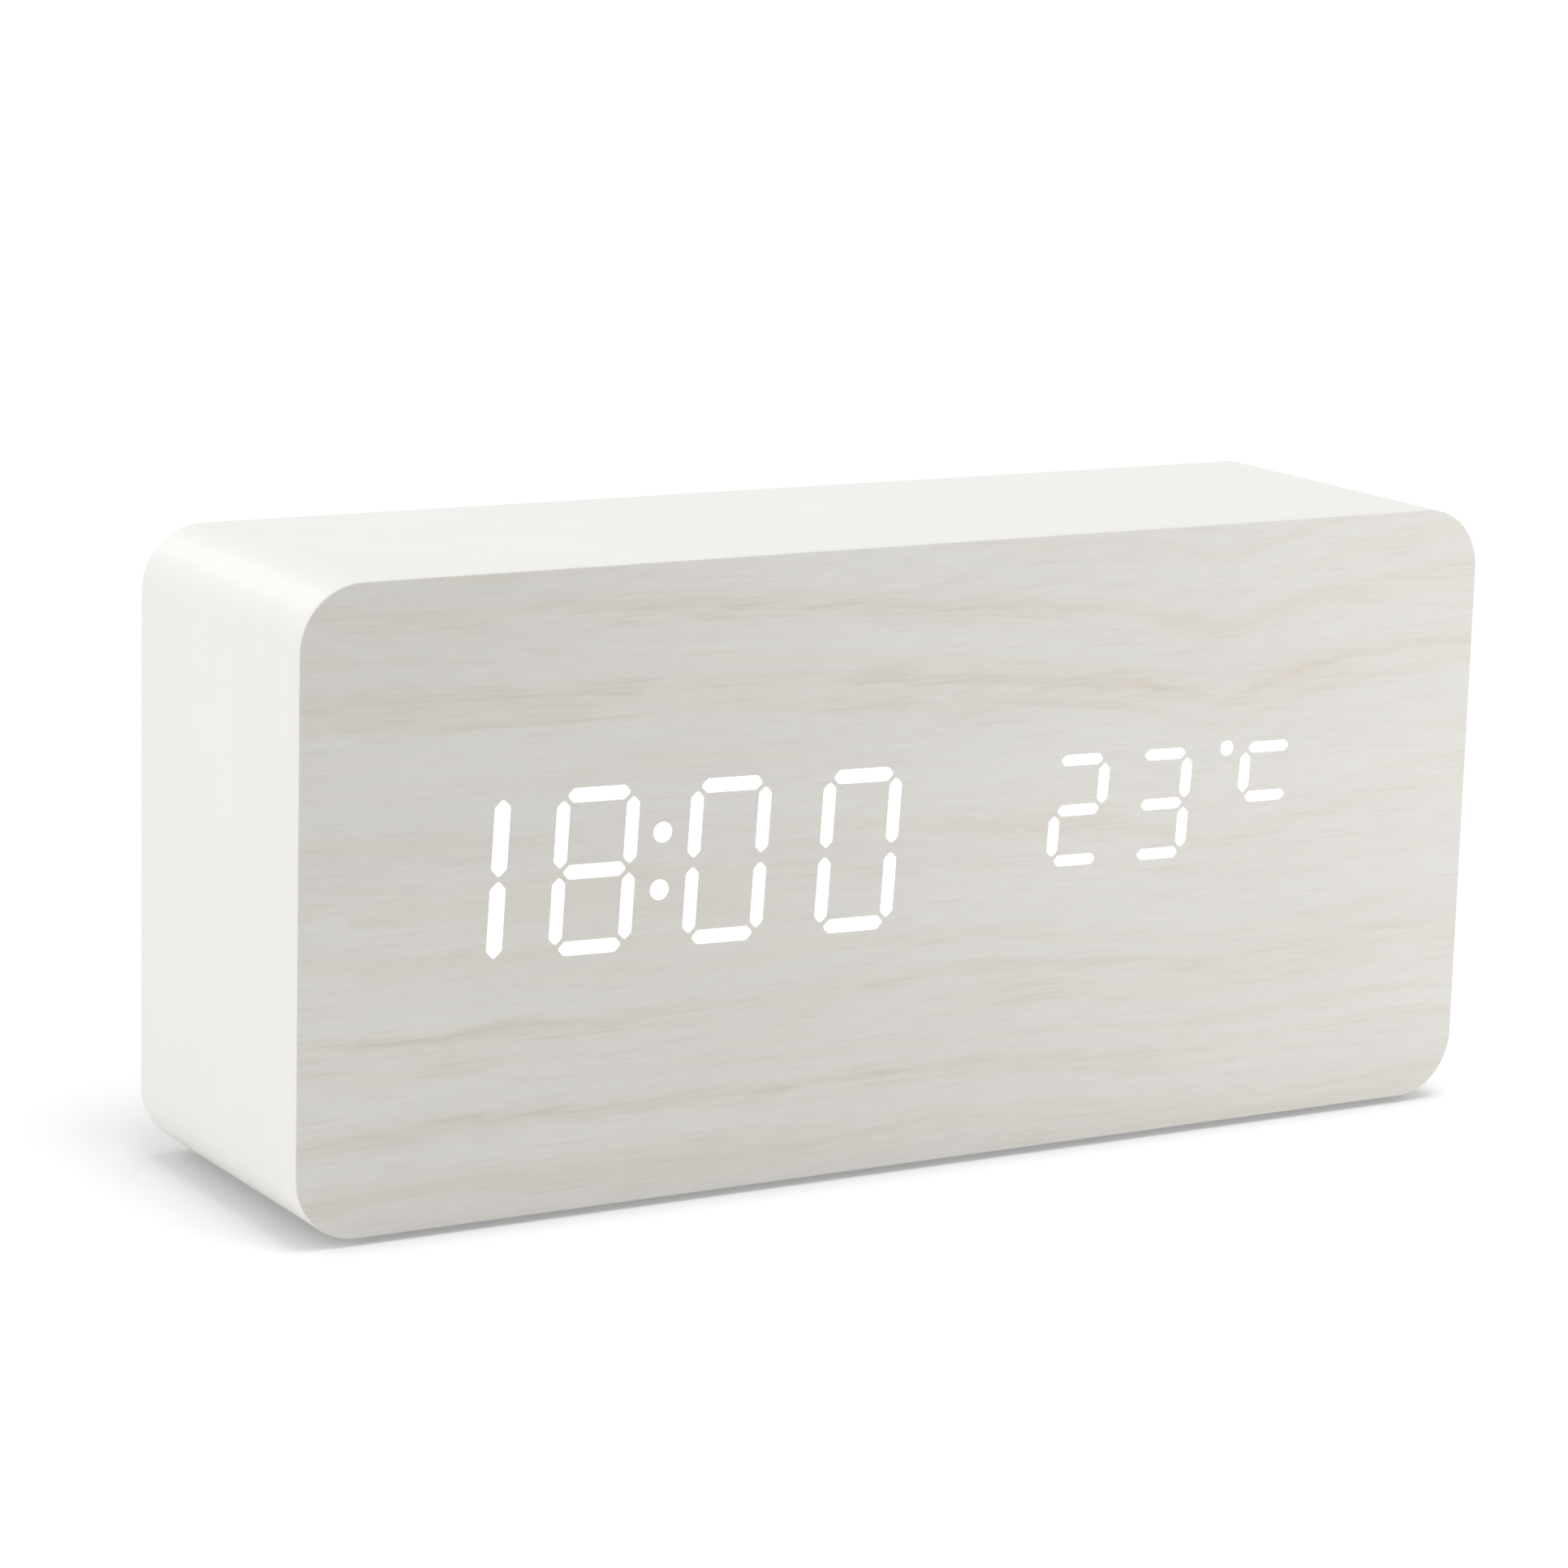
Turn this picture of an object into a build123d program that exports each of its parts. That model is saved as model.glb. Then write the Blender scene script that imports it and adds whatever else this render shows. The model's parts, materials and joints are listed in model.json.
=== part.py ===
from build123d import *
import math
import os

# A desk clock: a wooden block whose LED digits shine through a thin veneer front.
# The frame is +Z up with the front facing -Y. The origin lies under the middle of
# the clock on the surface it stands on. Sizes are in millimetres, angles in degrees.

# Case, foil and veneer
case_width = 150.0
case_height = 70.0
case_depth = 41.0
corner_radius = 7.2
veneer_thickness = 0.6
veneer_edge_round = 0.2
veneer_edge_share = 0.6
foil_thickness = 0.3
foil_seam_gap = 0.4
side_wall = 8.0
front_wall = 4.0
pillar_size = 9.0
pillar_radius = 2.5

# Feet
foot_height = 0.8
foot_diameter = 9.0
foot_round = 0.2
foot_inset_x = 16.0
foot_inset_y = 9.0

# Time digits
shown_time = "1800"
time_centre_offset = 2.05
time_pitch = 16.1
time_digit_height = 18.4
time_digit_width = 10.25
time_bar = 1.8
time_joint_gap = 1.05
time_slant = 3.3
one_bar = 2.0
one_middle_gap = 0.7
one_end_gap = 0.7
colon_diameter = 2.4
colon_spacing = 6.3

# Temperature digits
shown_temperature = "23C"
temperature_centre_offset = 3.55
temperature_pitch = 11.2
unit_pitch = 14.4
temperature_digit_height = 12.9
temperature_digit_width = 7.8
temperature_bar = 1.45
temperature_joint_gap = 0.7
temperature_slant = 2.2
degree_diameter = 1.9
degree_offset = 5.6

# Places of the two displays across the front, as shares of the width they leave free
left_gap_share = 0.226
middle_gap_share = 0.304

# Strokes
half_turn = 180
quarter_turn = 90
outer_tip_share = 0.42
middle_tip_share = 0.5
tip_round = 0.25
lit_segments = {"0": "abcdef", "1": "bc", "2": "abged", "3": "abgcd", "8": "abcdefg", "C": "afg"}

# Display modules
film_thickness = 0.2
reflector_depth = 7.0
reflector_margin = 2.4
reflector_corner_radius = 1.5
reflector_gap = 0.3
led_length = 1.6
led_width = 0.8
led_height = 0.7

# Main board and its fixings
main_board_thickness = 1.6
main_board_side_gap = 0.5
main_board_pillar_gap = 0.7
main_board_radius = 1.5
main_board_screw_inset = 2.9
spacer_diameter = 5.2
spacer_bore = 2.9
board_screw_shank = 2.2
board_screw_head = 4.4
board_screw_head_height = 1.5
board_screw_bite = 3.0
board_hole = 2.6
pilot_gap = 0.06

# Parts on the main board
chip_length = 18.0
chip_width = 7.5
chip_height = 2.3
chip_stand_off = 0.2
chip_x_share = -0.14
chip_drop = 4.0
chip_leg_count = 14
chip_leg_pitch = 1.27
chip_leg_width = 0.45
chip_leg_reach = 1.4
chip_leg_rise = 1.1
chip_mark_diameter = 1.4
chip_mark_depth = 0.3
crystal_length = 11.0
crystal_width = 4.6
crystal_height = 3.5
crystal_x_share = 0.05
crystal_drop = 4.0
crystal_edge = 0.5
driver_length = 2.9
driver_width = 1.4
driver_height = 1.1
driver_pitch = 6.0
driver_count = 7
driver_x_share = -0.31
driver_rise = 8.0
header_length = 12.0
header_width = 5.0
header_height = 4.5

# Rear cover
cover_recess = 2.0
cover_thickness = 2.2
cover_gap = 0.25
ledge_width = 3.0
rebate_radius = 3.0
cover_edge_round = 0.4
rim_height = 2.5
rim_wall = 1.2
rim_gap = 0.3
cover_screw_shank = 2.4
cover_screw_length = 10.0
cover_screw_head = 4.8
cover_screw_head_height = 1.5
cover_screw_hole = 2.9
cover_screw_bore = 5.5
cover_screw_sink = 1.1
cross_length = 2.8
cross_width = 0.6
cross_depth = 0.8
overrun = 1.0

# Keys
key_count = 3
key_pitch = 11.0
key_rise = 7.0
key_width = 8.0
key_height = 5.0
key_gap = 0.25
key_proud = 1.1
key_edge_round = 0.4
key_flange = 0.9
key_flange_thickness = 1.0
key_rest_gap = 0.1
key_stem_diameter = 4.0
key_stem_length = 1.0
key_travel = 0.5

# Switches
switch_size = 6.0
switch_height = 3.5
switch_corner_radius = 0.5
plunger_diameter = 3.4
plunger_proud = 1.5
plunger_inside = 1.2
plunger_gap = 0.1
plunger_floor_gap = 0.3

# Key board
key_gap_share = 0.06
key_board_width = 36.0
key_board_height = 33.0
key_board_thickness = 1.6
key_board_radius = 1.0
post_inset = 3.0
post_diameter = 4.6
key_screw_shank = 1.7
key_screw_bite = 5.0
key_screw_head = 3.6
key_screw_head_height = 1.3
key_screw_hole = 2.0
key_header_rise = 5.0
main_header_drop = 9.0

# Sounder, microphone, thermometer and power inlet
buzzer_diameter = 12.0
buzzer_height = 6.2
buzzer_across = -10.5
buzzer_drop = 8.0
buzzer_port = 2.4
buzzer_port_depth = 1.0
sound_hole = 1.5
sound_ring = 3.4
sound_count = 6
microphone_diameter = 6.0
microphone_height = 2.7
microphone_across = 0.6
microphone_drop = 9.5
microphone_face = 3.6
microphone_face_depth = 0.2
microphone_hole = 1.6
sensor_across = 0.6
sensor_drop = 1.5
sensor_bead = 2.4
sensor_leg = 0.5
sensor_leg_spacing = 1.2
sensor_leg_length = 3.6
vent_width = 0.9
vent_length = 5.0
vent_pitch = 1.9
vent_count = 3
jack_across = 10.2
jack_drop = 6.0
jack_base = 6.6
jack_base_gap = 0.3
jack_nose = 5.6
jack_nose_gap = 0.25
jack_sink = 0.3
jack_bore = 3.6
jack_depth = 7.5
jack_pin = 1.2
jack_pin_sink = 1.2

# Battery bay and cells
cell_count = 3
cell_diameter = 10.5
cell_length = 44.5
cell_nub_diameter = 3.8
cell_nub_height = 0.9
cell_edge_round = 0.5
cell_gap = 0.4
cell_side_gap = 0.4
cell_floor_gap = 0.15
cell_door_gap = 0.7
bay_gap_share = 0.25
bay_wall = 1.4
bay_floor = 1.4
bay_radius = 0.8
contact_thickness = 0.3
contact_width = 7.6
contact_top_gap = 1.5
dimple_diameter = 4.0
dimple_height = 0.5
spring_reach = 3.0
spring_width = 5.0
contact_touch_gap = 0.05
tag_width = 2.0
tag_length = 2.0
tag_gap = 0.2

# Battery door
door_thickness = 1.6
door_ledge = 1.6
door_gap = 0.3
door_seat_gap = 0.1
door_radius = 1.2
hook_width = 7.0
hook_inset = 6.5
hook_thickness = 1.0
hook_web = 1.0
hook_reach = 1.0
hook_gap = 0.2
hook_swing_gap = 0.5
latch_width = 8.0
latch_thickness = 0.8
latch_depth = 2.4
latch_gap = 0.35
latch_edge_gap = 0.1
grip_count = 4
grip_length = 12.0
grip_width = 0.9
grip_pitch = 2.2
grip_height = 0.4
grip_inset = 4.0
nail_radius = 8.0
nail_depth = 1.2

# Wiring
lead_diameter = 1.2
lead_drop_share = 0.5
lead_bend_share = 0.45
lead_pad_inset = 2.6
lead_pad_spacing = 5.0
ribbon_width = 8.0
ribbon_thickness = 0.9
ribbon_bend_share = 0.31

# Planes worked out from the sizes above
front_y = -case_depth / 2
rear_y = case_depth / 2
base_z = foot_height
centre_z = base_z + case_height / 2
veneer_back_y = front_y + veneer_thickness
film_back_y = veneer_back_y + film_thickness
cavity_front_y = veneer_back_y + front_wall
board_front_y = film_back_y + reflector_depth
board_rear_y = board_front_y + main_board_thickness
cover_outer_y = rear_y - cover_recess
cover_inner_y = cover_outer_y - cover_thickness
core_width = case_width - 2 * foil_thickness
core_height = case_height - 2 * foil_thickness
core_radius = corner_radius - foil_thickness
cavity_width = core_width - 2 * side_wall
cavity_height = core_height - 2 * side_wall
rebate_width = cavity_width + 2 * ledge_width
rebate_height = cavity_height + 2 * ledge_width
pillar_x = (cavity_width - pillar_size) / 2
pillar_z = (cavity_height - pillar_size) / 2
key_top_y = cover_outer_y + key_proud
flange_top_y = cover_inner_y - key_rest_gap
flange_bottom_y = flange_top_y - key_flange_thickness
stem_bottom_y = flange_bottom_y - key_stem_length
switch_top_y = stem_bottom_y - plunger_proud
key_board_rear_y = switch_top_y - switch_height
key_board_front_y = key_board_rear_y - key_board_thickness
plus_room = contact_thickness + dimple_height + contact_touch_gap
minus_room = contact_thickness + spring_reach + contact_touch_gap
bay_length = cell_length + plus_room + minus_room
rear_spare = cavity_width - 2 * pillar_size - bay_length - 2 * bay_wall - key_board_width
bay_left_x = pillar_size + bay_gap_share * rear_spare + bay_wall - cavity_width / 2
bay_right_x = bay_left_x + bay_length
bay_x = (bay_left_x + bay_right_x) / 2
key_board_x = cavity_width / 2 - pillar_size - key_gap_share * rear_spare - key_board_width / 2
key_z = centre_z + key_rise
key_centres = [key_board_x + (index - (key_count - 1) / 2) * key_pitch for index in range(key_count)]
post_x = key_board_width / 2 - post_inset
post_z = key_board_height / 2 - post_inset
posts = [(key_board_x - post_x, centre_z + post_z), (key_board_x + post_x, centre_z + post_z),
         (key_board_x + post_x, centre_z - post_z)]
buzzer_place = (key_board_x + buzzer_across, centre_z - buzzer_drop)
microphone_place = (key_board_x + microphone_across, centre_z - microphone_drop)
sensor_place = (key_board_x + sensor_across, centre_z - sensor_drop)
jack_place = (key_board_x + jack_across, centre_z - jack_drop)
door_inner_y = cover_outer_y - door_thickness
cell_y = door_inner_y - cell_door_gap - cell_diameter / 2
bay_floor_y = cell_y - cell_diameter / 2 - cell_floor_gap
bay_front_y = bay_floor_y - bay_floor
bay_height = cell_count * cell_diameter + (cell_count - 1) * cell_gap + 2 * cell_side_gap
cell_centres = [centre_z + ((cell_count - 1) / 2 - index) * (cell_diameter + cell_gap)
                for index in range(cell_count)]
recess_height = bay_height + 2 * door_ledge
hinge_x = bay_left_x - door_ledge
time_z = centre_z + time_centre_offset
temperature_z = centre_z + temperature_centre_offset
time_lean = math.tan(math.radians(time_slant)) * time_digit_height / 2
time_span = (len(shown_time) - 1) * time_pitch
time_module_width = time_span + time_digit_width + 2 * time_lean + 2 * reflector_margin
temperature_lean = math.tan(math.radians(temperature_slant)) * temperature_digit_height / 2
temperature_span = temperature_pitch + unit_pitch
temperature_module_width = (temperature_span + temperature_digit_width + 2 * temperature_lean
                            + 2 * reflector_margin)
front_spare = case_width - time_module_width - temperature_module_width
time_left_x = left_gap_share * front_spare - case_width / 2
time_right_x = time_left_x + time_module_width
temperature_left_x = time_right_x + middle_gap_share * front_spare
temperature_right_x = temperature_left_x + temperature_module_width
time_centre_x = (time_left_x + time_right_x) / 2
temperature_centre_x = (temperature_left_x + temperature_right_x) / 2
temperature_first_x = temperature_centre_x - temperature_span / 2
time_centres = [time_centre_x - time_span / 2 + index * time_pitch for index in range(len(shown_time))]
temperature_centres = [temperature_first_x, temperature_first_x + temperature_pitch,
                       temperature_first_x + temperature_span]
main_board_width = cavity_width - 2 * main_board_side_gap
main_board_height = cavity_height - 2 * pillar_size - 2 * main_board_pillar_gap
board_screw_rise = main_board_height / 2 - main_board_screw_inset
board_screw_middle = (time_right_x + temperature_left_x) / 2
board_screw_places = [(board_screw_middle, centre_z + board_screw_rise),
                      (board_screw_middle, centre_z - board_screw_rise),
                      (main_board_width / 2 - main_board_screw_inset, centre_z - board_screw_rise)]


# Tools

def slab(outline, front, back):
    """A flat outline in X and Z made solid from one Y plane to another."""
    plane = Plane(origin=(0, back, 0), x_dir=(1, 0, 0), z_dir=(0, -1, 0))
    return extrude(plane * outline, amount=back - front, dir=(0, -1, 0))


def rod(place, diameter, front, back):
    return slab(Pos(*place) * Circle(diameter / 2), front, back)


def panel(width, height, radius):
    return Pos(0, centre_z) * RectangleRounded(width, height, radius)


def joined(pieces):
    whole = pieces[0]
    for piece in pieces[1:]:
        whole = whole + piece
    return whole


def group(pieces):
    return Compound([solid for piece in pieces for solid in piece.solids()])


def corners(across, up):
    return [(side * across, centre_z + level * up) for side in (-1, 1) for level in (-1, 1)]


# Strokes of the digits

def bar_points(length, bar, tip_share):
    """A level bar with pointed ends; the tips sit a share of the bar below its outer edge."""
    half = length / 2
    outer = bar * tip_share
    inner = bar - outer
    tip = bar / 2 - outer
    return [(-half, tip), (inner - half, -bar / 2), (half - inner, -bar / 2),
            (half, tip), (half - outer, bar / 2), (outer - half, bar / 2)]


def turned(points, angle, centre, slant, origin):
    turn = math.radians(angle)
    lean = math.tan(math.radians(slant))
    out = []
    for x, z in points:
        along = centre[0] + x * math.cos(turn) - z * math.sin(turn)
        up = centre[1] + x * math.sin(turn) + z * math.cos(turn)
        out.append((origin[0] + along + up * lean, origin[1] + up))
    return out


def digit_strokes(origin, height, width, bar, joint_gap, slant):
    """The seven strokes of one digit as named point lists."""
    rise = (height - bar) / 2
    reach = (width - bar) / 2
    level = bar_points(2 * reach - joint_gap, bar, outer_tip_share)
    middle = bar_points(2 * reach - joint_gap, bar, middle_tip_share)
    upright = bar_points(rise - joint_gap, bar, outer_tip_share)
    places = {"a": (level, 0, (0, rise)), "d": (level, half_turn, (0, -rise)), "g": (middle, 0, (0, 0)),
              "b": (upright, -quarter_turn, (reach, rise / 2)),
              "c": (upright, -quarter_turn, (reach, -rise / 2)),
              "f": (upright, quarter_turn, (-reach, rise / 2)),
              "e": (upright, quarter_turn, (-reach, -rise / 2))}
    return {name: turned(points, angle, centre, slant, origin)
            for name, (points, angle, centre) in places.items()}


def leading_one(strokes, origin):
    """The first digit's right-hand strokes are longer and broader than the others."""
    length = (time_digit_height - one_middle_gap) / 2 - one_end_gap
    centre = (one_middle_gap + length) / 2
    reach = (time_digit_width - time_bar) / 2
    bar = bar_points(length, one_bar, middle_tip_share)
    strokes["b"] = turned(bar, -quarter_turn, (reach, centre), time_slant, origin)
    strokes["c"] = turned(bar, -quarter_turn, (reach, -centre), time_slant, origin)
    return strokes


def time_digits():
    digits = [digit_strokes((x, time_z), time_digit_height, time_digit_width, time_bar,
                            time_joint_gap, time_slant) for x in time_centres]
    digits[0] = leading_one(digits[0], (time_centres[0], time_z))
    return digits


def temperature_digits():
    return [digit_strokes((x, temperature_z), temperature_digit_height, temperature_digit_width,
                          temperature_bar, temperature_joint_gap, temperature_slant)
            for x in temperature_centres]


def colon_places():
    lean = math.tan(math.radians(time_slant)) * colon_spacing / 2
    middle = (time_centres[1] + time_centres[2]) / 2
    return [(middle + lean, time_z + colon_spacing / 2), (middle - lean, time_z - colon_spacing / 2)]


def degree_places():
    return [(temperature_centres[-1] - degree_offset,
             temperature_z + (temperature_digit_height - temperature_bar) / 2)]


def stroke_faces(digits, shown=None):
    """Plain outlines of every stroke, or of the lit ones with rounded corners."""
    faces = []
    for index, strokes in enumerate(digits):
        names = lit_segments[shown[index]] if shown else "abcdefg"
        for name in names:
            face = Polygon(*strokes[name], align=None)
            faces.append(fillet(face.vertices(), tip_round) if shown else face)
    return faces


def dot_faces(places, diameter):
    return [Pos(*place) * Circle(diameter / 2) for place in places]


def stroke_centres(digits, dots):
    centres = []
    for strokes in digits:
        for name, points in strokes.items():
            middle_x = sum(x for x, z in points) / len(points)
            middle_z = sum(z for x, z in points) / len(points)
            centres.append((middle_x, middle_z, name in "adg"))
    return centres + [(x, z, True) for x, z in dots]


def time_outline(extra=0):
    height = time_digit_height + 2 * reflector_margin + 2 * extra
    outline = RectangleRounded(time_module_width + 2 * extra, height, reflector_corner_radius)
    return Pos(time_centre_x, time_z) * outline


def temperature_outline(extra=0):
    height = temperature_digit_height + 2 * reflector_margin + 2 * extra
    outline = RectangleRounded(temperature_module_width + 2 * extra, height, reflector_corner_radius)
    return Pos(temperature_centre_x, temperature_z) * outline


lit_time = stroke_faces(time_digits(), shown_time) + dot_faces(colon_places(), colon_diameter)
lit_temperature = (stroke_faces(temperature_digits(), shown_temperature)
                   + dot_faces(degree_places(), degree_diameter))
all_time = stroke_faces(time_digits()) + dot_faces(colon_places(), colon_diameter)
all_temperature = stroke_faces(temperature_digits()) + dot_faces(degree_places(), degree_diameter)



# Outer pieces

def front_veneer():
    sheet = slab(panel(case_width, case_height, corner_radius), front_y, veneer_back_y)
    front_edges = sheet.faces().sort_by(Axis.Y)[0].edges()
    sheet = fillet(front_edges, min(veneer_edge_round, veneer_thickness * veneer_edge_share))
    return sheet - [slab(face, front_y - overrun, veneer_back_y + overrun)
                    for face in lit_time + lit_temperature]


def light_windows(faces):
    return group([slab(face, front_y, veneer_back_y) for face in faces])


def side_foil():
    outline = panel(case_width, case_height, corner_radius) - panel(core_width, core_height, core_radius)
    band = slab(outline, veneer_back_y, rear_y)
    seam = slab(Pos(0, base_z) * Rectangle(foil_seam_gap, 2 * foil_thickness + overrun),
                veneer_back_y - overrun, rear_y + overrun)
    return band - seam


def cavity_outline(shrink):
    """The routed cavity seen from the rear, with a pillar left in each corner."""
    outline = Pos(0, centre_z) * Rectangle(cavity_width - 2 * shrink, cavity_height - 2 * shrink)
    size = 2 * (pillar_size + shrink)
    for place in corners(cavity_width / 2, cavity_height / 2):
        outline -= Pos(*place) * RectangleRounded(size, size, pillar_radius + shrink)
    return outline


def case_body():
    body = slab(panel(core_width, core_height, core_radius), veneer_back_y, rear_y)
    body -= slab(cavity_outline(0), cavity_front_y, rear_y + overrun)
    body -= slab(panel(rebate_width, rebate_height, rebate_radius), cover_inner_y, rear_y + overrun)
    body -= [slab(outline, veneer_back_y - overrun, board_front_y)
             for outline in (time_outline(reflector_gap), temperature_outline(reflector_gap))]
    pilot = cover_screw_shank + 2 * pilot_gap
    depth = cover_screw_length + overrun
    body -= [rod(place, pilot, cover_inner_y - depth, cover_inner_y + overrun)
             for place in corners(pillar_x, pillar_z)]
    board_pilot = board_screw_shank + 2 * pilot_gap
    board_tip = cavity_front_y - board_screw_bite - pilot_gap
    body -= [rod(place, board_pilot, board_tip, cavity_front_y + overrun) for place in board_screw_places]
    return body


def feet():
    pads = []
    for x in (-1, 1):
        for y in (-1, 1):
            across = x * (case_width / 2 - foot_inset_x)
            back = y * (case_depth / 2 - foot_inset_y)
            pad = Pos(across, back, foot_height / 2) * Cylinder(foot_diameter / 2, foot_height)
            pads.append(fillet(pad.faces().sort_by(Axis.Z)[0].edges(), foot_round))
    return group(pads)


# Display pieces

def mask_film(outline, faces):
    sheet = slab(outline, veneer_back_y, film_back_y)
    return sheet - [slab(face, veneer_back_y - overrun, film_back_y + overrun) for face in faces]


def reflector(outline, faces):
    block = slab(outline, film_back_y, board_front_y)
    return block - [slab(face, film_back_y - overrun, board_front_y + overrun) for face in faces]


def leds(centres):
    chips = []
    for x, z, level in centres:
        size = (led_length, led_width) if level else (led_width, led_length)
        chips.append(slab(Pos(x, z) * Rectangle(*size), board_front_y - led_height, board_front_y))
    return group(chips)


def main_board():
    board = slab(panel(main_board_width, main_board_height, main_board_radius), board_front_y, board_rear_y)
    return board - [rod(place, board_hole, board_front_y - overrun, board_rear_y + overrun)
                    for place in board_screw_places]


def board_spacers():
    return group([rod(place, spacer_diameter, cavity_front_y, board_front_y)
                  - rod(place, spacer_bore, cavity_front_y - overrun, board_front_y + overrun)
                  for place in board_screw_places])


def cross(place, top, depth):
    bars = Pos(*place) * (Rectangle(cross_length, cross_width) + Rectangle(cross_width, cross_length))
    return slab(bars, min(top, top + depth), max(top, top + depth))


def board_screws():
    tip = cavity_front_y - board_screw_bite
    screws = []
    for place in board_screw_places:
        head_top = board_rear_y + board_screw_head_height
        screw = rod(place, board_screw_head, board_rear_y, head_top)
        screw += rod(place, board_screw_shank, tip, board_rear_y)
        screws.append(screw - cross(place, head_top, -cross_depth))
    return group(screws)


def controller_chip():
    seat = board_rear_y + chip_stand_off
    chip_x = chip_x_share * main_board_width
    place = (chip_x, centre_z - chip_drop)
    body = slab(Pos(*place) * Rectangle(chip_length, chip_width), seat, seat + chip_height)
    for index in range(chip_leg_count):
        x = chip_x + (index - (chip_leg_count - 1) / 2) * chip_leg_pitch
        leg = Pos(x, place[1]) * Rectangle(chip_leg_width, chip_width + 2 * chip_leg_reach)
        rise = board_rear_y + chip_leg_rise
        body += slab(leg, board_rear_y, rise) - slab(
            Pos(*place) * Rectangle(chip_length, chip_width), board_rear_y - overrun, seat)
    mark = (chip_x - chip_length / 2 + chip_mark_diameter, place[1] - chip_width / 2 + chip_mark_diameter)
    top = seat + chip_height
    return body - rod(mark, chip_mark_diameter, top - chip_mark_depth, top + overrun)


def clock_crystal():
    place = Pos(crystal_x_share * main_board_width, centre_z - crystal_drop)
    outline = place * SlotOverall(crystal_length, crystal_width)
    can = slab(outline, board_rear_y, board_rear_y + crystal_height)
    return fillet(can.faces().sort_by(Axis.Y)[-1].edges(), crystal_edge)


def digit_drivers():
    first_x = driver_x_share * main_board_width
    return group([slab(Pos(first_x + index * driver_pitch, centre_z + driver_rise)
                       * Rectangle(driver_length, driver_width), board_rear_y, board_rear_y + driver_height)
                  for index in range(driver_count)])


def header(z, front, back):
    return slab(Pos(key_board_x, z) * Rectangle(header_length, header_width), front, back)


def main_header():
    return header(centre_z - main_header_drop, board_rear_y, board_rear_y + header_height)


def key_header():
    return header(centre_z + key_header_rise, key_board_front_y - header_height, key_board_front_y)


# Rear cover and what it carries

def bay_box(grow, radius):
    return Pos(bay_x, centre_z) * RectangleRounded(bay_length + 2 * grow, bay_height + 2 * grow, radius)


def hook_rises():
    rise = recess_height / 2 - hook_inset
    return [centre_z - rise, centre_z + rise]


def key_outline(x, grow):
    return Pos(x, key_z) * SlotOverall(key_width + 2 * grow, key_height + 2 * grow)


def cover_openings():
    """Everything that goes through the plate, as outlines."""
    outlines = [key_outline(x, key_gap) for x in key_centres]
    outlines.append(Pos(*jack_place) * Circle(jack_nose / 2 + jack_nose_gap))
    outlines.append(Pos(*microphone_place) * Circle(microphone_hole / 2))
    outlines.append(Pos(*buzzer_place) * Circle(sound_hole / 2))
    outlines += [Pos(*buzzer_place) * spot * Circle(sound_hole / 2)
                 for spot in PolarLocations(sound_ring, sound_count)]
    outlines += [Pos(sensor_place[0], sensor_place[1] + (index - (vent_count - 1) / 2) * vent_pitch)
                 * SlotOverall(vent_length, vent_width) for index in range(vent_count)]
    outlines += [Pos(*place) * Circle(cover_screw_hole / 2) for place in corners(pillar_x, pillar_z)]
    return outlines


def nail_scoop():
    centre = (bay_right_x + door_ledge, cover_outer_y + nail_radius - nail_depth, centre_z)
    return Pos(*centre) * Sphere(nail_radius)


def terminal_slits():
    """Slits in the bay floor that the two solder tags pass through."""
    width = contact_thickness + tag_gap
    slits = []
    for x, z in ((bay_right_x - width / 2, cell_centres[0]), (bay_left_x + width / 2, cell_centres[-1])):
        slit = Pos(x, z) * Rectangle(width, tag_width + 2 * tag_gap)
        slits.append(slab(slit, bay_front_y - overrun, bay_floor_y + overrun))
    return slits


def bay_cuts():
    cuts = [slab(bay_box(0, bay_radius), bay_floor_y, cover_outer_y + overrun)]
    recess_y = door_inner_y - door_seat_gap
    cuts.append(slab(bay_box(door_ledge, door_radius), recess_y, cover_outer_y + overrun))
    hook_low = cover_inner_y - hook_gap - hook_thickness - hook_swing_gap
    left = hinge_x - hook_reach - hook_swing_gap
    for z in hook_rises():
        slot = Pos((left + bay_left_x) / 2, z) * Rectangle(bay_left_x - left, hook_width + 2 * door_gap)
        cuts.append(slab(slot, hook_low, cover_inner_y))
        gate = Pos((hinge_x + bay_left_x) / 2, z) * Rectangle(door_ledge, hook_width + 2 * door_gap)
        cuts.append(slab(gate, hook_low, recess_y + door_seat_gap))
    latch_low = door_inner_y - latch_depth - latch_gap
    notch = Pos(bay_right_x + door_ledge / 2, centre_z) * Rectangle(door_ledge, latch_width + 2 * latch_gap)
    cuts.append(slab(notch, latch_low, recess_y + door_seat_gap))
    return cuts + terminal_slits()


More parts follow.
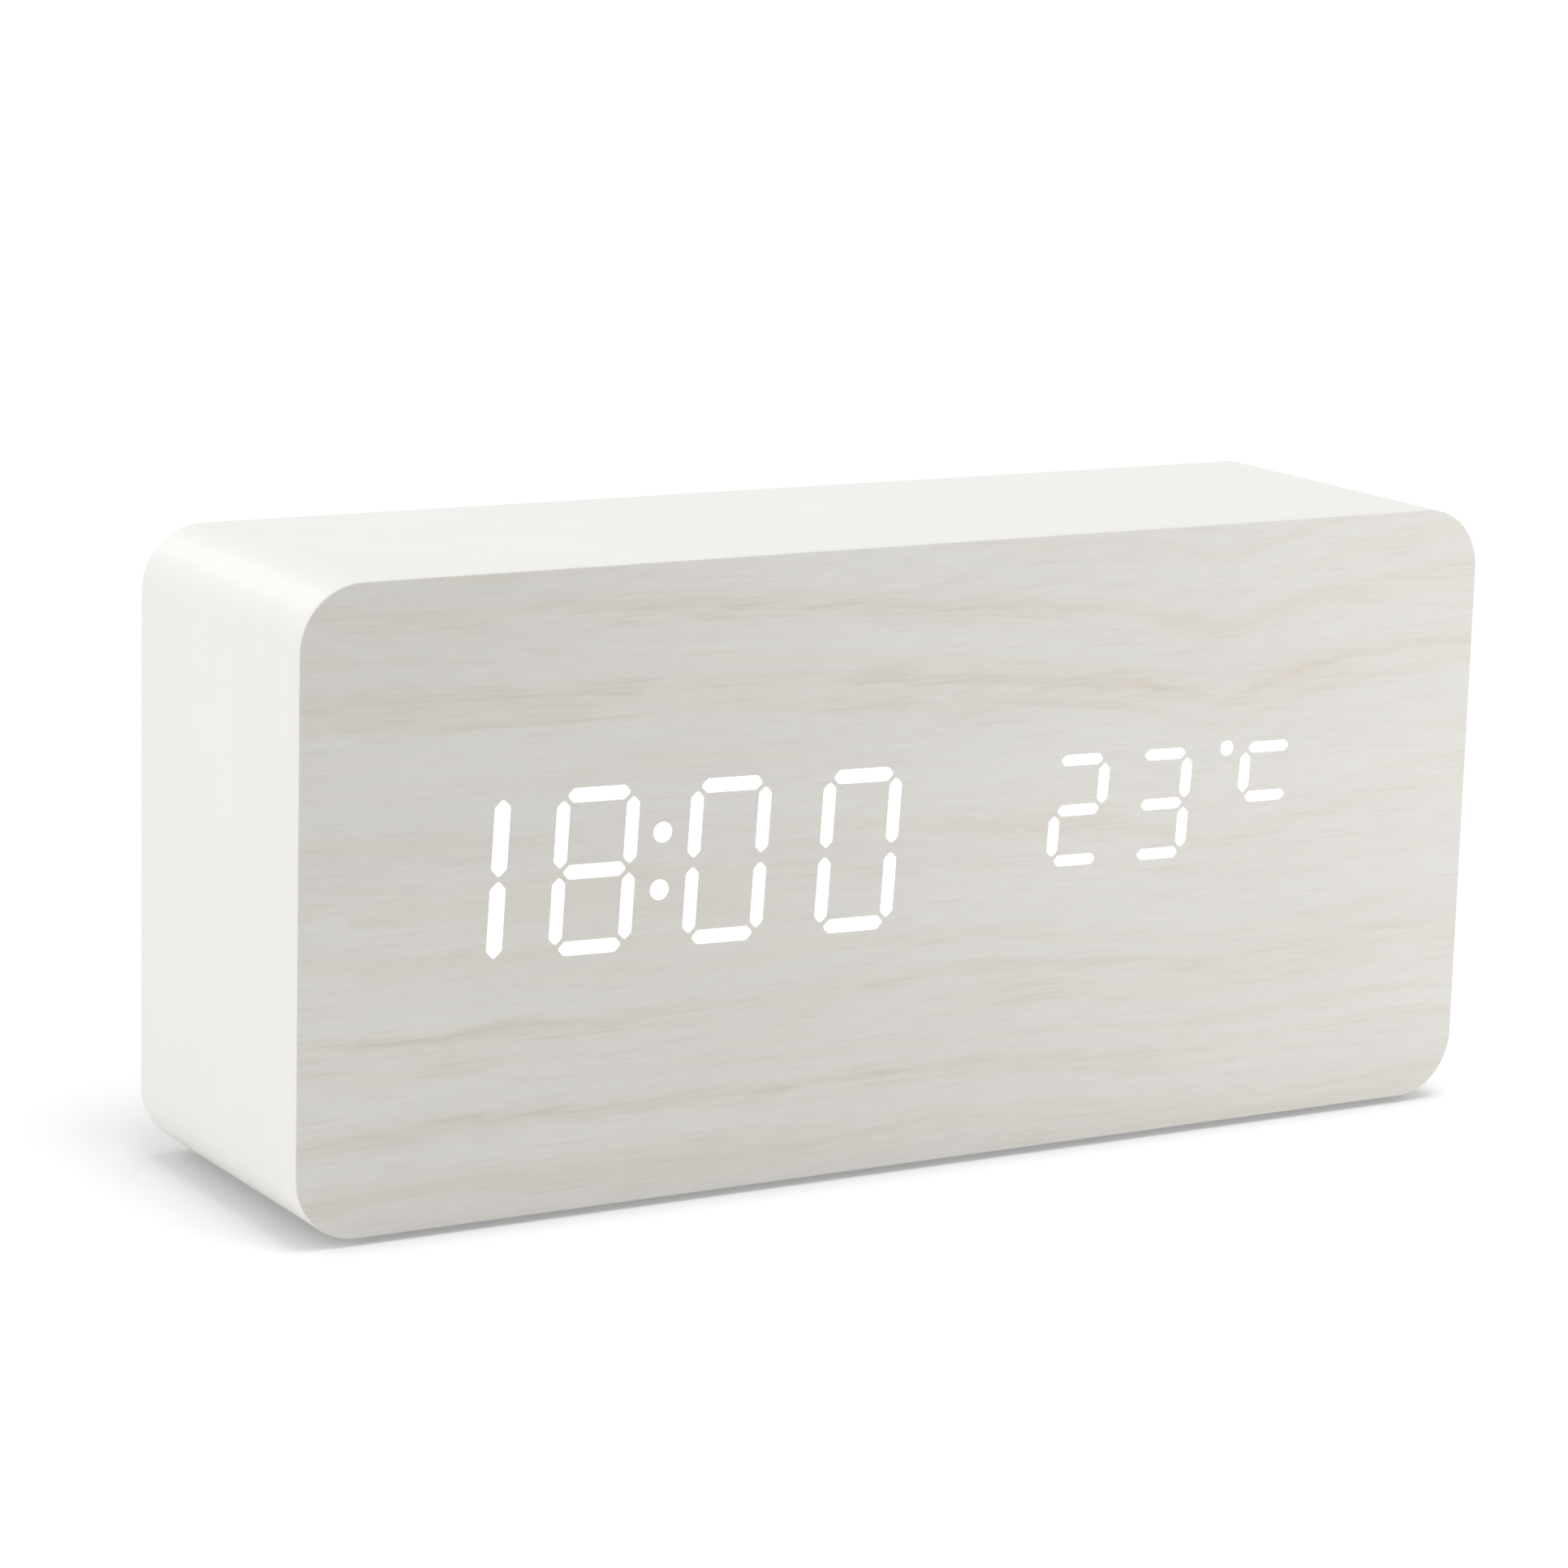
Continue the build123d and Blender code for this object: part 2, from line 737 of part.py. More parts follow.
def rear_cover():
    plate = panel(rebate_width - 2 * cover_gap, rebate_height - 2 * cover_gap, rebate_radius - cover_gap)
    cover = slab(plate, cover_inner_y, cover_outer_y)
    cover = fillet(cover.faces().sort_by(Axis.Y)[-1].edges(), min(cover_edge_round, cover_thickness / 2))
    rim = cavity_outline(rim_gap) - cavity_outline(rim_gap + rim_wall)
    cover += slab(rim, cover_inner_y - rim_height, cover_inner_y)
    cover += slab(bay_box(bay_wall, bay_radius + bay_wall), bay_front_y, cover_inner_y)
    cover += [rod(place, post_diameter, key_board_rear_y, cover_inner_y) for place in posts]
    cover -= bay_cuts()
    cover -= [slab(outline, cover_inner_y - overrun, cover_outer_y + overrun)
              for outline in cover_openings()]
    cover -= [rod(place, cover_screw_bore, cover_outer_y - cover_screw_sink, cover_outer_y + overrun)
              for place in corners(pillar_x, pillar_z)]
    pilot = key_screw_shank + 2 * pilot_gap
    cover -= [rod(place, pilot, key_board_rear_y - overrun, key_board_rear_y + key_screw_bite + pilot_gap)
              for place in posts]
    return cover - nail_scoop()


def cover_screws():
    seat = cover_outer_y - cover_screw_sink
    top = seat + cover_screw_head_height
    screws = []
    for place in corners(pillar_x, pillar_z):
        screw = rod(place, cover_screw_head, seat, top)
        screw += rod(place, cover_screw_shank, cover_inner_y - cover_screw_length, seat)
        screws.append(screw - cross(place, top, -cross_depth))
    return group(screws)


def key(x):
    cap = slab(key_outline(x, 0), flange_bottom_y, key_top_y)
    cap = fillet(cap.faces().sort_by(Axis.Y)[-1].edges(), key_edge_round)
    cap += slab(key_outline(x, key_flange), flange_bottom_y, flange_top_y)
    return cap + rod((x, key_z), key_stem_diameter, stem_bottom_y, flange_bottom_y)


def plunger(x):
    return rod((x, key_z), plunger_diameter, switch_top_y - plunger_inside, stem_bottom_y)


def switch_bodies():
    depth = plunger_inside + key_travel + plunger_floor_gap
    bodies = []
    for x in key_centres:
        box = slab(Pos(x, key_z) * RectangleRounded(switch_size, switch_size, switch_corner_radius),
                   key_board_rear_y, switch_top_y)
        bore = plunger_diameter + 2 * plunger_gap
        bodies.append(box - rod((x, key_z), bore, switch_top_y - depth, switch_top_y + overrun))
    return group(bodies)


def key_board():
    outline = RectangleRounded(key_board_width, key_board_height, key_board_radius)
    board = slab(Pos(key_board_x, centre_z) * outline, key_board_front_y, key_board_rear_y)
    return board - [rod(place, key_screw_hole, key_board_front_y - overrun, key_board_rear_y + overrun)
                    for place in posts]


def key_board_screws():
    screws = []
    for place in posts:
        head_front = key_board_front_y - key_screw_head_height
        screw = rod(place, key_screw_head, head_front, key_board_front_y)
        tip = key_board_rear_y + key_screw_bite
        screws.append(screw + rod(place, key_screw_shank, key_board_front_y, tip))
    return group(screws)


def buzzer():
    top = key_board_rear_y + buzzer_height
    can = rod(buzzer_place, buzzer_diameter, key_board_rear_y, top)
    return can - rod(buzzer_place, buzzer_port, top - buzzer_port_depth, top + overrun)


def microphone():
    top = key_board_rear_y + microphone_height
    can = rod(microphone_place, microphone_diameter, key_board_rear_y, top)
    return can - rod(microphone_place, microphone_face, top - microphone_face_depth, top + overrun)


def temperature_sensor():
    x, z = sensor_place
    top = key_board_rear_y + sensor_leg_length
    bead = Pos(x, top, z) * Sphere(sensor_bead / 2)
    half = sensor_leg_spacing / 2
    legs = [rod((x + side * half, z), sensor_leg, key_board_rear_y, top) for side in (-1, 1)]
    return joined([bead] + legs)


def dc_jack():
    foot = Pos(*jack_place) * Rectangle(jack_base, jack_base)
    base = slab(foot, key_board_rear_y, cover_inner_y - jack_base_gap)
    nose_y = cover_outer_y - jack_sink
    base += rod(jack_place, jack_nose, key_board_rear_y, nose_y)
    return base - rod(jack_place, jack_bore, nose_y - jack_depth, nose_y + overrun)


def dc_jack_pin():
    nose_y = cover_outer_y - jack_sink
    return rod(jack_place, jack_pin, nose_y - jack_depth, nose_y - jack_pin_sink)


# Battery pieces

def along_x(y, z, diameter, left, right):
    plane = Plane(origin=(left, y, z), x_dir=(0, 1, 0), z_dir=(1, 0, 0))
    return extrude(plane * Circle(diameter / 2), amount=right - left)


def cell(index):
    """One cell; every second one is turned end for end."""
    z = cell_centres[index]
    turned_round = index % 2 == 1
    body_length = cell_length - cell_nub_height
    if turned_round:
        left = bay_left_x + plus_room
        body = along_x(cell_y, z, cell_diameter, left + cell_nub_height, left + cell_length)
        nub = along_x(cell_y, z, cell_nub_diameter, left, left + cell_nub_height)
    else:
        left = bay_left_x + minus_room
        body = along_x(cell_y, z, cell_diameter, left, left + body_length)
        nub = along_x(cell_y, z, cell_nub_diameter, left + body_length, left + cell_length)
    return fillet(body.edges().filter_by(GeomType.CIRCLE), cell_edge_round) + nub


def battery_cells():
    return group([cell(index) for index in range(cell_count)])


def contact_plate(wall_x, inward, low_z, high_z):
    """A flat sheet against an end wall of the bay."""
    edge = wall_x + inward * contact_thickness
    outline = Pos((wall_x + edge) / 2, (low_z + high_z) / 2) * Rectangle(
        contact_thickness, high_z - low_z + contact_width)
    return slab(outline, bay_floor_y, cell_y + cell_diameter / 2 - contact_top_gap)


def dimple(wall_x, inward, z):
    near = wall_x + inward * contact_thickness
    far = near + inward * dimple_height
    return along_x(cell_y, z, dimple_diameter, min(near, far), max(near, far))


def leaf_spring(wall_x, inward, z):
    """A bowed leaf that stands off its plate and presses on a cell's flat end."""
    near = wall_x + inward * contact_thickness
    far = near + inward * spring_reach
    low = bay_floor_y
    high = cell_y + cell_diameter / 2 - contact_top_gap
    inset = contact_thickness * math.hypot(spring_reach, (high - low) / 2) / spring_reach
    points = [(near, low), (far, (low + high) / 2), (near, high), (near, high - inset),
              (far - inward * contact_thickness, (low + high) / 2), (near, low + inset)]
    face = Polygon(*points, align=None)
    return Pos(0, 0, z - spring_width / 2) * extrude(face, amount=spring_width, dir=(0, 0, 1))


def tag(wall_x, inward, z):
    middle = wall_x + inward * contact_thickness / 2
    outline = Pos(middle, z) * Rectangle(contact_thickness, tag_width)
    return slab(outline, bay_front_y - tag_length, bay_floor_y)


def positive_terminal():
    z = cell_centres[0]
    plate = contact_plate(bay_right_x, -1, z, z)
    return joined([plate, dimple(bay_right_x, -1, z), tag(bay_right_x, -1, z)])


def negative_terminal():
    z = cell_centres[-1]
    plate = contact_plate(bay_left_x, 1, z, z)
    return joined([plate, leaf_spring(bay_left_x, 1, z), tag(bay_left_x, 1, z)])


def bridge_contact_right():
    plus, minus = cell_centres[2], cell_centres[1]
    return joined([contact_plate(bay_right_x, -1, plus, minus), dimple(bay_right_x, -1, plus),
                   leaf_spring(bay_right_x, -1, minus)])


def bridge_contact_left():
    plus, minus = cell_centres[1], cell_centres[0]
    return joined([contact_plate(bay_left_x, 1, plus, minus), dimple(bay_left_x, 1, plus),
                   leaf_spring(bay_left_x, 1, minus)])


def battery_door():
    """A snap-in door; two hooks reach under the plate and a tongue holds the other end."""
    door = slab(bay_box(door_ledge - door_gap, door_radius), door_inner_y, cover_outer_y)
    hook_top = cover_inner_y - hook_gap
    hook_low = hook_top - hook_thickness
    web_left = hinge_x + door_gap
    tip = hinge_x - hook_reach
    for z in hook_rises():
        web = Pos(web_left + hook_web / 2, z) * Rectangle(hook_web, hook_width)
        door += slab(web, hook_low, door_inner_y)
        foot = Pos((tip + web_left + hook_web) / 2, z) * Rectangle(web_left + hook_web - tip, hook_width)
        door += slab(foot, hook_low, hook_top)
    right = bay_right_x + door_ledge - door_gap - latch_edge_gap
    tongue = Pos(right - latch_thickness / 2, centre_z) * Rectangle(latch_thickness, latch_width)
    door += slab(tongue, door_inner_y - latch_depth, door_inner_y)
    for index in range(grip_count):
        x = bay_right_x - grip_inset - index * grip_pitch
        door += slab(Pos(x, centre_z) * SlotOverall(grip_length, grip_width, rotation=quarter_turn),
                     cover_outer_y, cover_outer_y + grip_height)
    return door


# Wiring

def wire(points, bend, diameter):
    """A round lead along straight runs joined by tangent arcs."""
    path = FilletPolyline(*points, radius=bend)
    start = Vector(*points[0])
    section = Plane(origin=start, z_dir=Vector(*points[1]) - start) * Circle(diameter / 2)
    lead = sweep(section, path=path)
    share = lead.volume / (math.pi * diameter ** 2 / 4 * path.length)
    print("lead bend", round(bend, 3), "volume over section times length", round(share, 4))
    return lead


def lead(x, z, pad_z):
    start_y = bay_front_y - tag_length
    drop = lead_drop_share * (start_y - board_rear_y - crystal_height)
    low_y = start_y - drop
    pad_x = key_board_x - key_board_width / 2 + lead_pad_inset
    points = [(x, start_y, z), (x, low_y, z), (pad_x, low_y, pad_z), (pad_x, key_board_front_y, pad_z)]
    return wire(points, lead_bend_share * drop, lead_diameter)


def red_lead():
    z = cell_centres[0]
    return lead(bay_right_x - contact_thickness / 2, z, centre_z + lead_pad_spacing / 2)


def black_lead():
    z = cell_centres[-1]
    return lead(bay_left_x + contact_thickness / 2, z, centre_z - lead_pad_spacing / 2)


def ribbon_cable():
    """A flat cable that leaves both headers squarely and steps up between them."""
    low_z, high_z = centre_z - main_header_drop, centre_z + key_header_rise
    start_y = board_rear_y + header_height
    end_y = key_board_front_y - header_height
    middle = (start_y + end_y) / 2
    points = [(0, start_y, low_z), (0, middle, low_z), (0, middle, high_z), (0, end_y, high_z)]
    path = FilletPolyline(*points, radius=ribbon_bend_share * (end_y - start_y))
    start = Plane(origin=points[0], x_dir=(1, 0, 0), z_dir=(0, 1, 0))
    strip = sweep(start * Rectangle(ribbon_width, ribbon_thickness), path=path)
    return Pos(key_board_x, 0, 0) * strip


# Build and write every node

nodes = {
    "front_veneer": front_veneer(),
    "time_light_windows": light_windows(lit_time),
    "temperature_light_windows": light_windows(lit_temperature),
    "side_foil": side_foil(),
    "case_body": case_body(),
    "feet": feet(),
    "time_mask_film": mask_film(time_outline(), all_time),
    "temperature_mask_film": mask_film(temperature_outline(), all_temperature),
    "time_reflector": reflector(time_outline(), all_time),
    "temperature_reflector": reflector(temperature_outline(), all_temperature),
    "time_leds": leds(stroke_centres(time_digits(), colon_places())),
    "temperature_leds": leds(stroke_centres(temperature_digits(), degree_places())),
    "main_board": main_board(),
    "board_spacers": board_spacers(),
    "board_screws": board_screws(),
    "controller_chip": controller_chip(),
    "clock_crystal": clock_crystal(),
    "digit_drivers": digit_drivers(),
    "main_header": main_header(),
    "rear_cover": rear_cover(),
    "cover_screws": cover_screws(),
    "set_button": key(key_centres[2]),
    "up_button": key(key_centres[1]),
    "down_button": key(key_centres[0]),
    "set_plunger": plunger(key_centres[2]),
    "up_plunger": plunger(key_centres[1]),
    "down_plunger": plunger(key_centres[0]),
    "switch_bodies": switch_bodies(),
    "key_board": key_board(),
    "key_board_screws": key_board_screws(),
    "key_header": key_header(),
    "buzzer": buzzer(),
    "microphone": microphone(),
    "temperature_sensor": temperature_sensor(),
    "dc_jack": dc_jack(),
    "dc_jack_pin": dc_jack_pin(),
    "battery_cells": battery_cells(),
    "positive_terminal": positive_terminal(),
    "negative_terminal": negative_terminal(),
    "bridge_contact_left": bridge_contact_left(),
    "bridge_contact_right": bridge_contact_right(),
    "battery_door": battery_door(),
    "red_lead": red_lead(),
    "black_lead": black_lead(),
    "ribbon_cable": ribbon_cable(),
}

print("hinge axis at", hinge_x, cover_outer_y, "power inlet at", jack_place, cover_outer_y - jack_sink)
print("digit centres", time_centres, temperature_centres, "heights", time_z, temperature_z)
os.makedirs("parts", exist_ok=True)
for name, shape in nodes.items():
    export_step(shape, f"parts/{name}.step")
    print(name, "solids", len(shape.solids()), "valid", shape.is_valid)
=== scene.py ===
import json
import math

import bmesh
import bpy
from mathutils import Matrix, Vector


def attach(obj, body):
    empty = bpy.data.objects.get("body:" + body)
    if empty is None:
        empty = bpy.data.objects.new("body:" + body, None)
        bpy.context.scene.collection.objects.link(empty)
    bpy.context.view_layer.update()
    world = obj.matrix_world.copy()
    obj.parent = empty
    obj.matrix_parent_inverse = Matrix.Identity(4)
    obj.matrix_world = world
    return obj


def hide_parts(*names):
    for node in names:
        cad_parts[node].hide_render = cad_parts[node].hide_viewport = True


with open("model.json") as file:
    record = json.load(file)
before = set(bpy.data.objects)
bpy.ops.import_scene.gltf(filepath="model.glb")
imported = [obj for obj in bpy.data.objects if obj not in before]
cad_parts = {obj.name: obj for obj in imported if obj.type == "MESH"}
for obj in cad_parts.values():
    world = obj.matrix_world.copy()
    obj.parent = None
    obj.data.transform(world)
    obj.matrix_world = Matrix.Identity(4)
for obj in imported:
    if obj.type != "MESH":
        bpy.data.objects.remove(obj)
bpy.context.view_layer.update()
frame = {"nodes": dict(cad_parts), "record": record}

# A desk clock: white foil round a wooden block, a whitewashed veneer front and lit digits.
# Blender works in metres here; MM turns a size in millimetres into metres.
MM = 0.001
nodes = frame["nodes"]

# Sizes of the block in millimetres
case_width = 150.0
case_height = 70.0
base_z = 0.8
centre_z = base_z + case_height / 2
rear_y = 20.5
front_y = -20.5
veneer_back_y = -19.9
corner_radius = 7.2
corner_steps = 28
veneer_edge_round = 0.2
foil_thickness = 0.3
foil_edge_round = 0.08
seam_gap = 0.4
cover_y = 18.5

# Cover screws: their places, the depth of their seat, and how far they may be turned, in radians
screw_x = 62.2
screw_z = 22.2
screw_seat = 1.1
screw_spin = 1.5

# Keys and their painted marks, and the arrow on the battery door
key_z = 42.8
key_top_y = 19.6
key_places = {"down_button": 27.026, "up_button": 38.026, "set_button": 49.026}
key_mark_radius = 1.25
key_mark_shift = 0.15
set_mark_radius = 0.95
paint_depth = 0.02
paint_height = 0.05
paint_ease = 0.03
arrow_x = -13.0
arrow_radius = 2.2
arrow_depth = 0.05
arrow_height = 0.3
arrow_ease = 0.12

# Cells: the middle cell lies the other way round
cell_y = 10.95
cell_pitch = 10.9
cell_length = 44.5
cell_radius = 5.25
cell_roll = 0.5
cell_starts = (-45.975, -3.975, -45.975)

# Lit strokes: the letters name a digit's bars from the top round to the right, with g in the middle
lit_bars = {"0": "abcdef", "1": "bc", "2": "abdeg", "3": "abcdg", "8": "abcdefg", "C": "afg"}
display_lean = math.tan(math.radians(3.0))
display_tilt = -0.02
dot_steps = 40
window_ease = 0.01

# Each kind of digit: how far its bars lie from its middle, and their length and breadth, level and upright
one_size = {"rise": 8.8, "reach": 0.0, "level": (7.75, 1.63), "upright": (8.55, 1.9), "corner": 0.4}
time_size = {"rise": 8.31, "reach": 4.19, "level": (7.75, 1.61), "upright": (7.52, 1.61), "corner": 0.4}
temperature_size = {"rise": 5.72, "reach": 3.1, "level": (5.75, 1.3), "upright": (4.8, 1.45), "corner": 0.32}
time_digits = (("1", (-51.91, 38.1), one_size), ("8", (-40.49, 38.04), time_size),
               ("0", (-24.31, 37.76), time_size), ("0", (-7.82, 37.35), time_size))
colon_dots = ((-32.3, 41.5), (-32.58, 35.2))
colon_radius = 1.16
temperature_digits = (("2", (20.83, 39.43), temperature_size), ("3", (32.04, 39.17), temperature_size),
                      ("C", (46.3, 38.98), temperature_size))
degree_dots = ((40.79, 44.92),)
degree_radius = 0.9

# The veneer's growth lines: place, height, and width before and after, counted down from above the top edge
growth_lines = (
    (20.5, 0.6, 1.6, 0.5), (29.5, 1.0, 1.2, 0.5), (32.3, 0.6, 0.8, 0.5),
    (44.7, 0.35, 0.8, 0.5), (47.5, 0.35, 0.8, 0.5), (57.0, 0.9, 1.0, 0.5),
    (60.5, 0.45, 0.8, 0.5), (66.8, 0.75, 1.0, 0.5), (73.8, 0.6, 1.0, 0.5),
)
growth_bands = (
    (21.5, 0.7, 4.0, 2.5), (30.0, 1.0, 3.5, 3.5), (46.0, 0.35, 3.0, 3.0),
    (58.0, 0.8, 2.5, 4.0), (67.2, 0.75, 2.5, 2.0), (74.2, 0.5, 2.5, 3.0),
)


# Node trees written as Python

class Term:
    """An output that can be used in sums; each operation adds one Math node."""

    def __init__(self, bench, socket):
        self.bench = bench
        self.socket = socket

    def math(self, operation, *values):
        return self.bench.add("ShaderNodeMath", {"operation": operation}, dict(enumerate(values))).out(0)

    def __add__(self, other):
        return self.math("ADD", self, other)

    def __sub__(self, other):
        return self.math("SUBTRACT", self, other)

    def __rsub__(self, other):
        return self.math("SUBTRACT", other, self)

    def __mul__(self, other):
        return self.math("MULTIPLY", self, other)

    def __truediv__(self, other):
        return self.math("DIVIDE", self, other)

    def __mod__(self, other):
        return self.math("MODULO", self, other)

    __radd__ = __add__
    __rmul__ = __mul__

    def root(self):
        return self.math("SQRT", self)

    def step(self, low, high):
        """A smooth rise from nought to one as the value goes from low to high."""
        values = {"Value": self, "From Min": low, "From Max": high}
        settings = {"interpolation_type": "SMOOTHSTEP"}
        return self.bench.add("ShaderNodeMapRange", settings, values).out("Result")


class Added:
    """A node that was just added, with its outputs at hand."""

    def __init__(self, bench, node):
        self.bench = bench
        self.node = node

    def out(self, key):
        return Term(self.bench, Bench.find(self.node.outputs, key))


class Bench:
    """A node tree being filled."""

    def __init__(self, tree):
        self.tree = tree

    @staticmethod
    def find(sockets, key):
        if isinstance(key, int):
            return sockets[key]
        by_identifier = [socket for socket in sockets if socket.identifier == key]
        return (by_identifier or [socket for socket in sockets if socket.name == key])[0]

    def plug(self, socket, value):
        if isinstance(value, Term):
            self.tree.links.new(value.socket, socket)
        elif socket.type == "RGBA":
            socket.default_value = (*value[:3], 1.0)
        else:
            socket.default_value = value

    def add(self, kind, settings=None, values=None):
        """Adds a node: its settings first, then the values or links of its sockets."""
        node = self.tree.nodes.new(kind)
        for name, value in (settings or {}).items():
            if name == "stops":
                self.set_stops(node.color_ramp, value)
            else:
                setattr(node, name, value)
        for key, value in (values or {}).items():
            self.plug(self.find(node.inputs, key), value)
        return Added(self, node)

    @staticmethod
    def set_stops(ramp, stops):
        while len(ramp.elements) < len(stops):
            ramp.elements.new(1.0)
        for element, (place, level) in zip(ramp.elements, stops):
            element.position = place
            element.color = (level, level, level, 1.0)


class Finish(Bench):
    """A material being made: one Principled shader and what feeds it."""

    def __init__(self, name, **surface):
        self.material = bpy.data.materials.new(name)
        self.material.use_nodes = True
        super().__init__(self.material.node_tree)
        self.shader = next(node for node in self.tree.nodes if node.type == "BSDF_PRINCIPLED")
        self.feed(**surface)

    def feed(self, **surface):
        for name, value in surface.items():
            label = name.replace("_", " ").title().replace("Ior", "IOR")
            self.plug(self.shader.inputs[label], value)

    def place(self):
        return self.add("ShaderNodeTexCoord").out("Object")

    def scaled(self, scale, offset=(0, 0, 0)):
        """Object coordinates in millimetres, each axis stretched by its own scale."""
        values = {"Vector": self.place(), "Scale": tuple(part / MM for part in scale), "Location": offset}
        return self.add("ShaderNodeMapping", None, values).out(0)

    def noise(self, scale, detail=2.0, rough=0.5, offset=(0, 0, 0), warp=0.0):
        return self.noise_on(self.scaled(scale, offset), detail, rough, warp)

    def noise_on(self, vector, detail=2.0, rough=0.5, warp=0.0):
        values = {"Vector": vector, "Scale": 1.0, "Detail": detail, "Roughness": rough, "Distortion": warp}
        return self.add("ShaderNodeTexNoise", None, values).out("Fac")

    def along(self, axis):
        """One Object coordinate in millimetres."""
        return self.add("ShaderNodeSeparateXYZ", None, {0: self.place()}).out(axis) * (1 / MM)

    def grooves(self, value, lines, span=90.0):
        """Peaks along a value: each line has its place, its height, and its width before and after."""
        stops = [(0.0, 0.0)]
        for place, level, before, after in lines:
            stops += [((place - before) / span, 0.0), (place / span, level), ((place + after) / span, 0.0)]
        return self.add("ShaderNodeValToRGB", {"stops": stops}, {"Fac": value / span}).out("Color")

    def blend(self, share, first, second):
        values = {"Factor_Float": share, "A_Color": first, "B_Color": second}
        return self.add("ShaderNodeMix", {"data_type": "RGBA"}, values).out("Result_Color")

    def bump(self, height, strength, depth):
        values = {"Height": height, "Strength": strength, "Distance": depth * MM}
        return self.add("ShaderNodeBump", None, values).out("Normal")


class Recipe(Bench):
    """A Geometry Nodes tree being made, with named inputs for its sizes."""

    def __init__(self, name, inputs):
        super().__init__(bpy.data.node_groups.new(name, "GeometryNodeTree"))
        face = self.tree.interface
        face.new_socket("Geometry", in_out="INPUT", socket_type="NodeSocketGeometry")
        self.keys = {}
        for label, kind in {**inputs, "Material": "Material"}.items():
            socket = face.new_socket(label, in_out="INPUT", socket_type="NodeSocket" + kind)
            self.keys[label] = socket.identifier
        face.new_socket("Geometry", in_out="OUTPUT", socket_type="NodeSocketGeometry")
        self.given = self.add("NodeGroupInput")

    def get(self, label):
        return self.given.out(label)

    def end(self, shape):
        whole = self.add("GeometryNodeRealizeInstances", None, {"Geometry": shape}).out(0)
        values = {"Geometry": whole, "Material": self.get("Material")}
        painted = self.add("GeometryNodeSetMaterial", None, values).out(0)
        self.add("NodeGroupOutput", None, {0: painted})

    def make(self, name, source, **sizes):
        """Runs the tree on a source mesh and gives the result as a plain mesh object."""
        helper = bpy.data.objects.new(name + "_source", source)
        bpy.context.collection.objects.link(helper)
        modifier = helper.modifiers.new("recipe", "NODES")
        modifier.node_group = self.tree
        for label, value in sizes.items():
            modifier[self.keys[label.replace("_", " ").title()]] = value
        seen = helper.evaluated_get(bpy.context.evaluated_depsgraph_get())
        mesh = bpy.data.meshes.new_from_object(seen)
        mesh.name = name
        helper.modifiers.remove(modifier)
        bpy.data.objects.remove(helper)
        return add_object(name, mesh)


# Shapes

def add_object(name, mesh):
    piece = bpy.data.objects.new(name, mesh)
    bpy.context.collection.objects.link(piece)
    return piece


def settle(piece, body, replaced=(), smooth=25.0):
    """Shades a piece, ties it to its body and hides the nodes that it stands for."""
    piece.data.polygons.foreach_set("use_smooth", [True] * len(piece.data.polygons))
    piece.data.set_sharp_from_angle(angle=math.radians(smooth))
    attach(piece, body)
    if replaced:
        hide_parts(*replaced)


def points_mesh(name, points, edges=()):
    mesh = bpy.data.meshes.new(name)
    mesh.from_pydata([Vector(point) * MM for point in points], edges, [])
    return mesh


def finished_mesh(name, shape):
    """Turns all faces outwards and gives the shape as a mesh."""
    bmesh.ops.recalc_face_normals(shape, faces=shape.faces)
    mesh = bpy.data.meshes.new(name)
    shape.to_mesh(mesh)
    shape.free()
    return mesh


def lathe(name, profile, steps):
    """A closed turned shape about Z from (radius, height) pairs that start and end on the axis."""
    shape = bmesh.new()
    rings = []
    for radius, height in profile:
        if radius == 0:
            rings.append([shape.verts.new((0, 0, height * MM))])
            continue
        turns = [2 * math.pi * step / steps for step in range(steps)]
        places = [(radius * MM * math.cos(turn), radius * MM * math.sin(turn), height * MM) for turn in turns]
        rings.append([shape.verts.new(place) for place in places])
    for low, high in zip(rings, rings[1:]):
        for step in range(steps):
            corners = [low[step % len(low)], low[(step + 1) % len(low)],
                       high[(step + 1) % len(high)], high[step % len(high)]]
            shape.faces.new(list(dict.fromkeys(corners)))
    return finished_mesh(name, shape)


def ring_of(x, z, radius, count, start=0.0):
    turns = [2 * math.pi * step / count + start for step in range(count)]
    return [(x + radius * math.cos(turn), z + radius * math.sin(turn)) for turn in turns]


def prism(name, outlines, low_y, high_y, ease):
    """Raised marks: each outline of (x, z) points is drawn up along Y with an eased top edge."""
    shape = bmesh.new()
    for outline in outlines:
        middle = sum((Vector(point) for point in outline), Vector((0, 0))) / len(outline)
        shoulder = high_y - math.copysign(ease, high_y - low_y)
        levels = ((low_y, 0.0), (shoulder, 0.0), (high_y, ease))
        rings = []
        for level, inset in levels:
            ring = []
            for point in outline:
                off = Vector(point) - middle
                place = middle + off * (1 - inset / max(off.length, inset * 2))
                ring.append(shape.verts.new((place.x * MM, level * MM, place.y * MM)))
            rings.append(ring)
        shape.faces.new(rings[0])
        shape.faces.new(rings[-1])
        count = len(outline)
        for low, high in zip(rings, rings[1:]):
            for step in range(count):
                shape.faces.new((low[step], low[(step + 1) % count], high[(step + 1) % count], high[step]))
    return finished_mesh(name, shape)


# Finishes

def srgb(*levels):
    """A linear colour from levels of 0 to 255."""
    parts = [level / 255 for level in levels]
    return tuple(part / 12.92 if part <= 0.04045 else ((part + 0.055) / 1.055) ** 2.4 for part in parts)


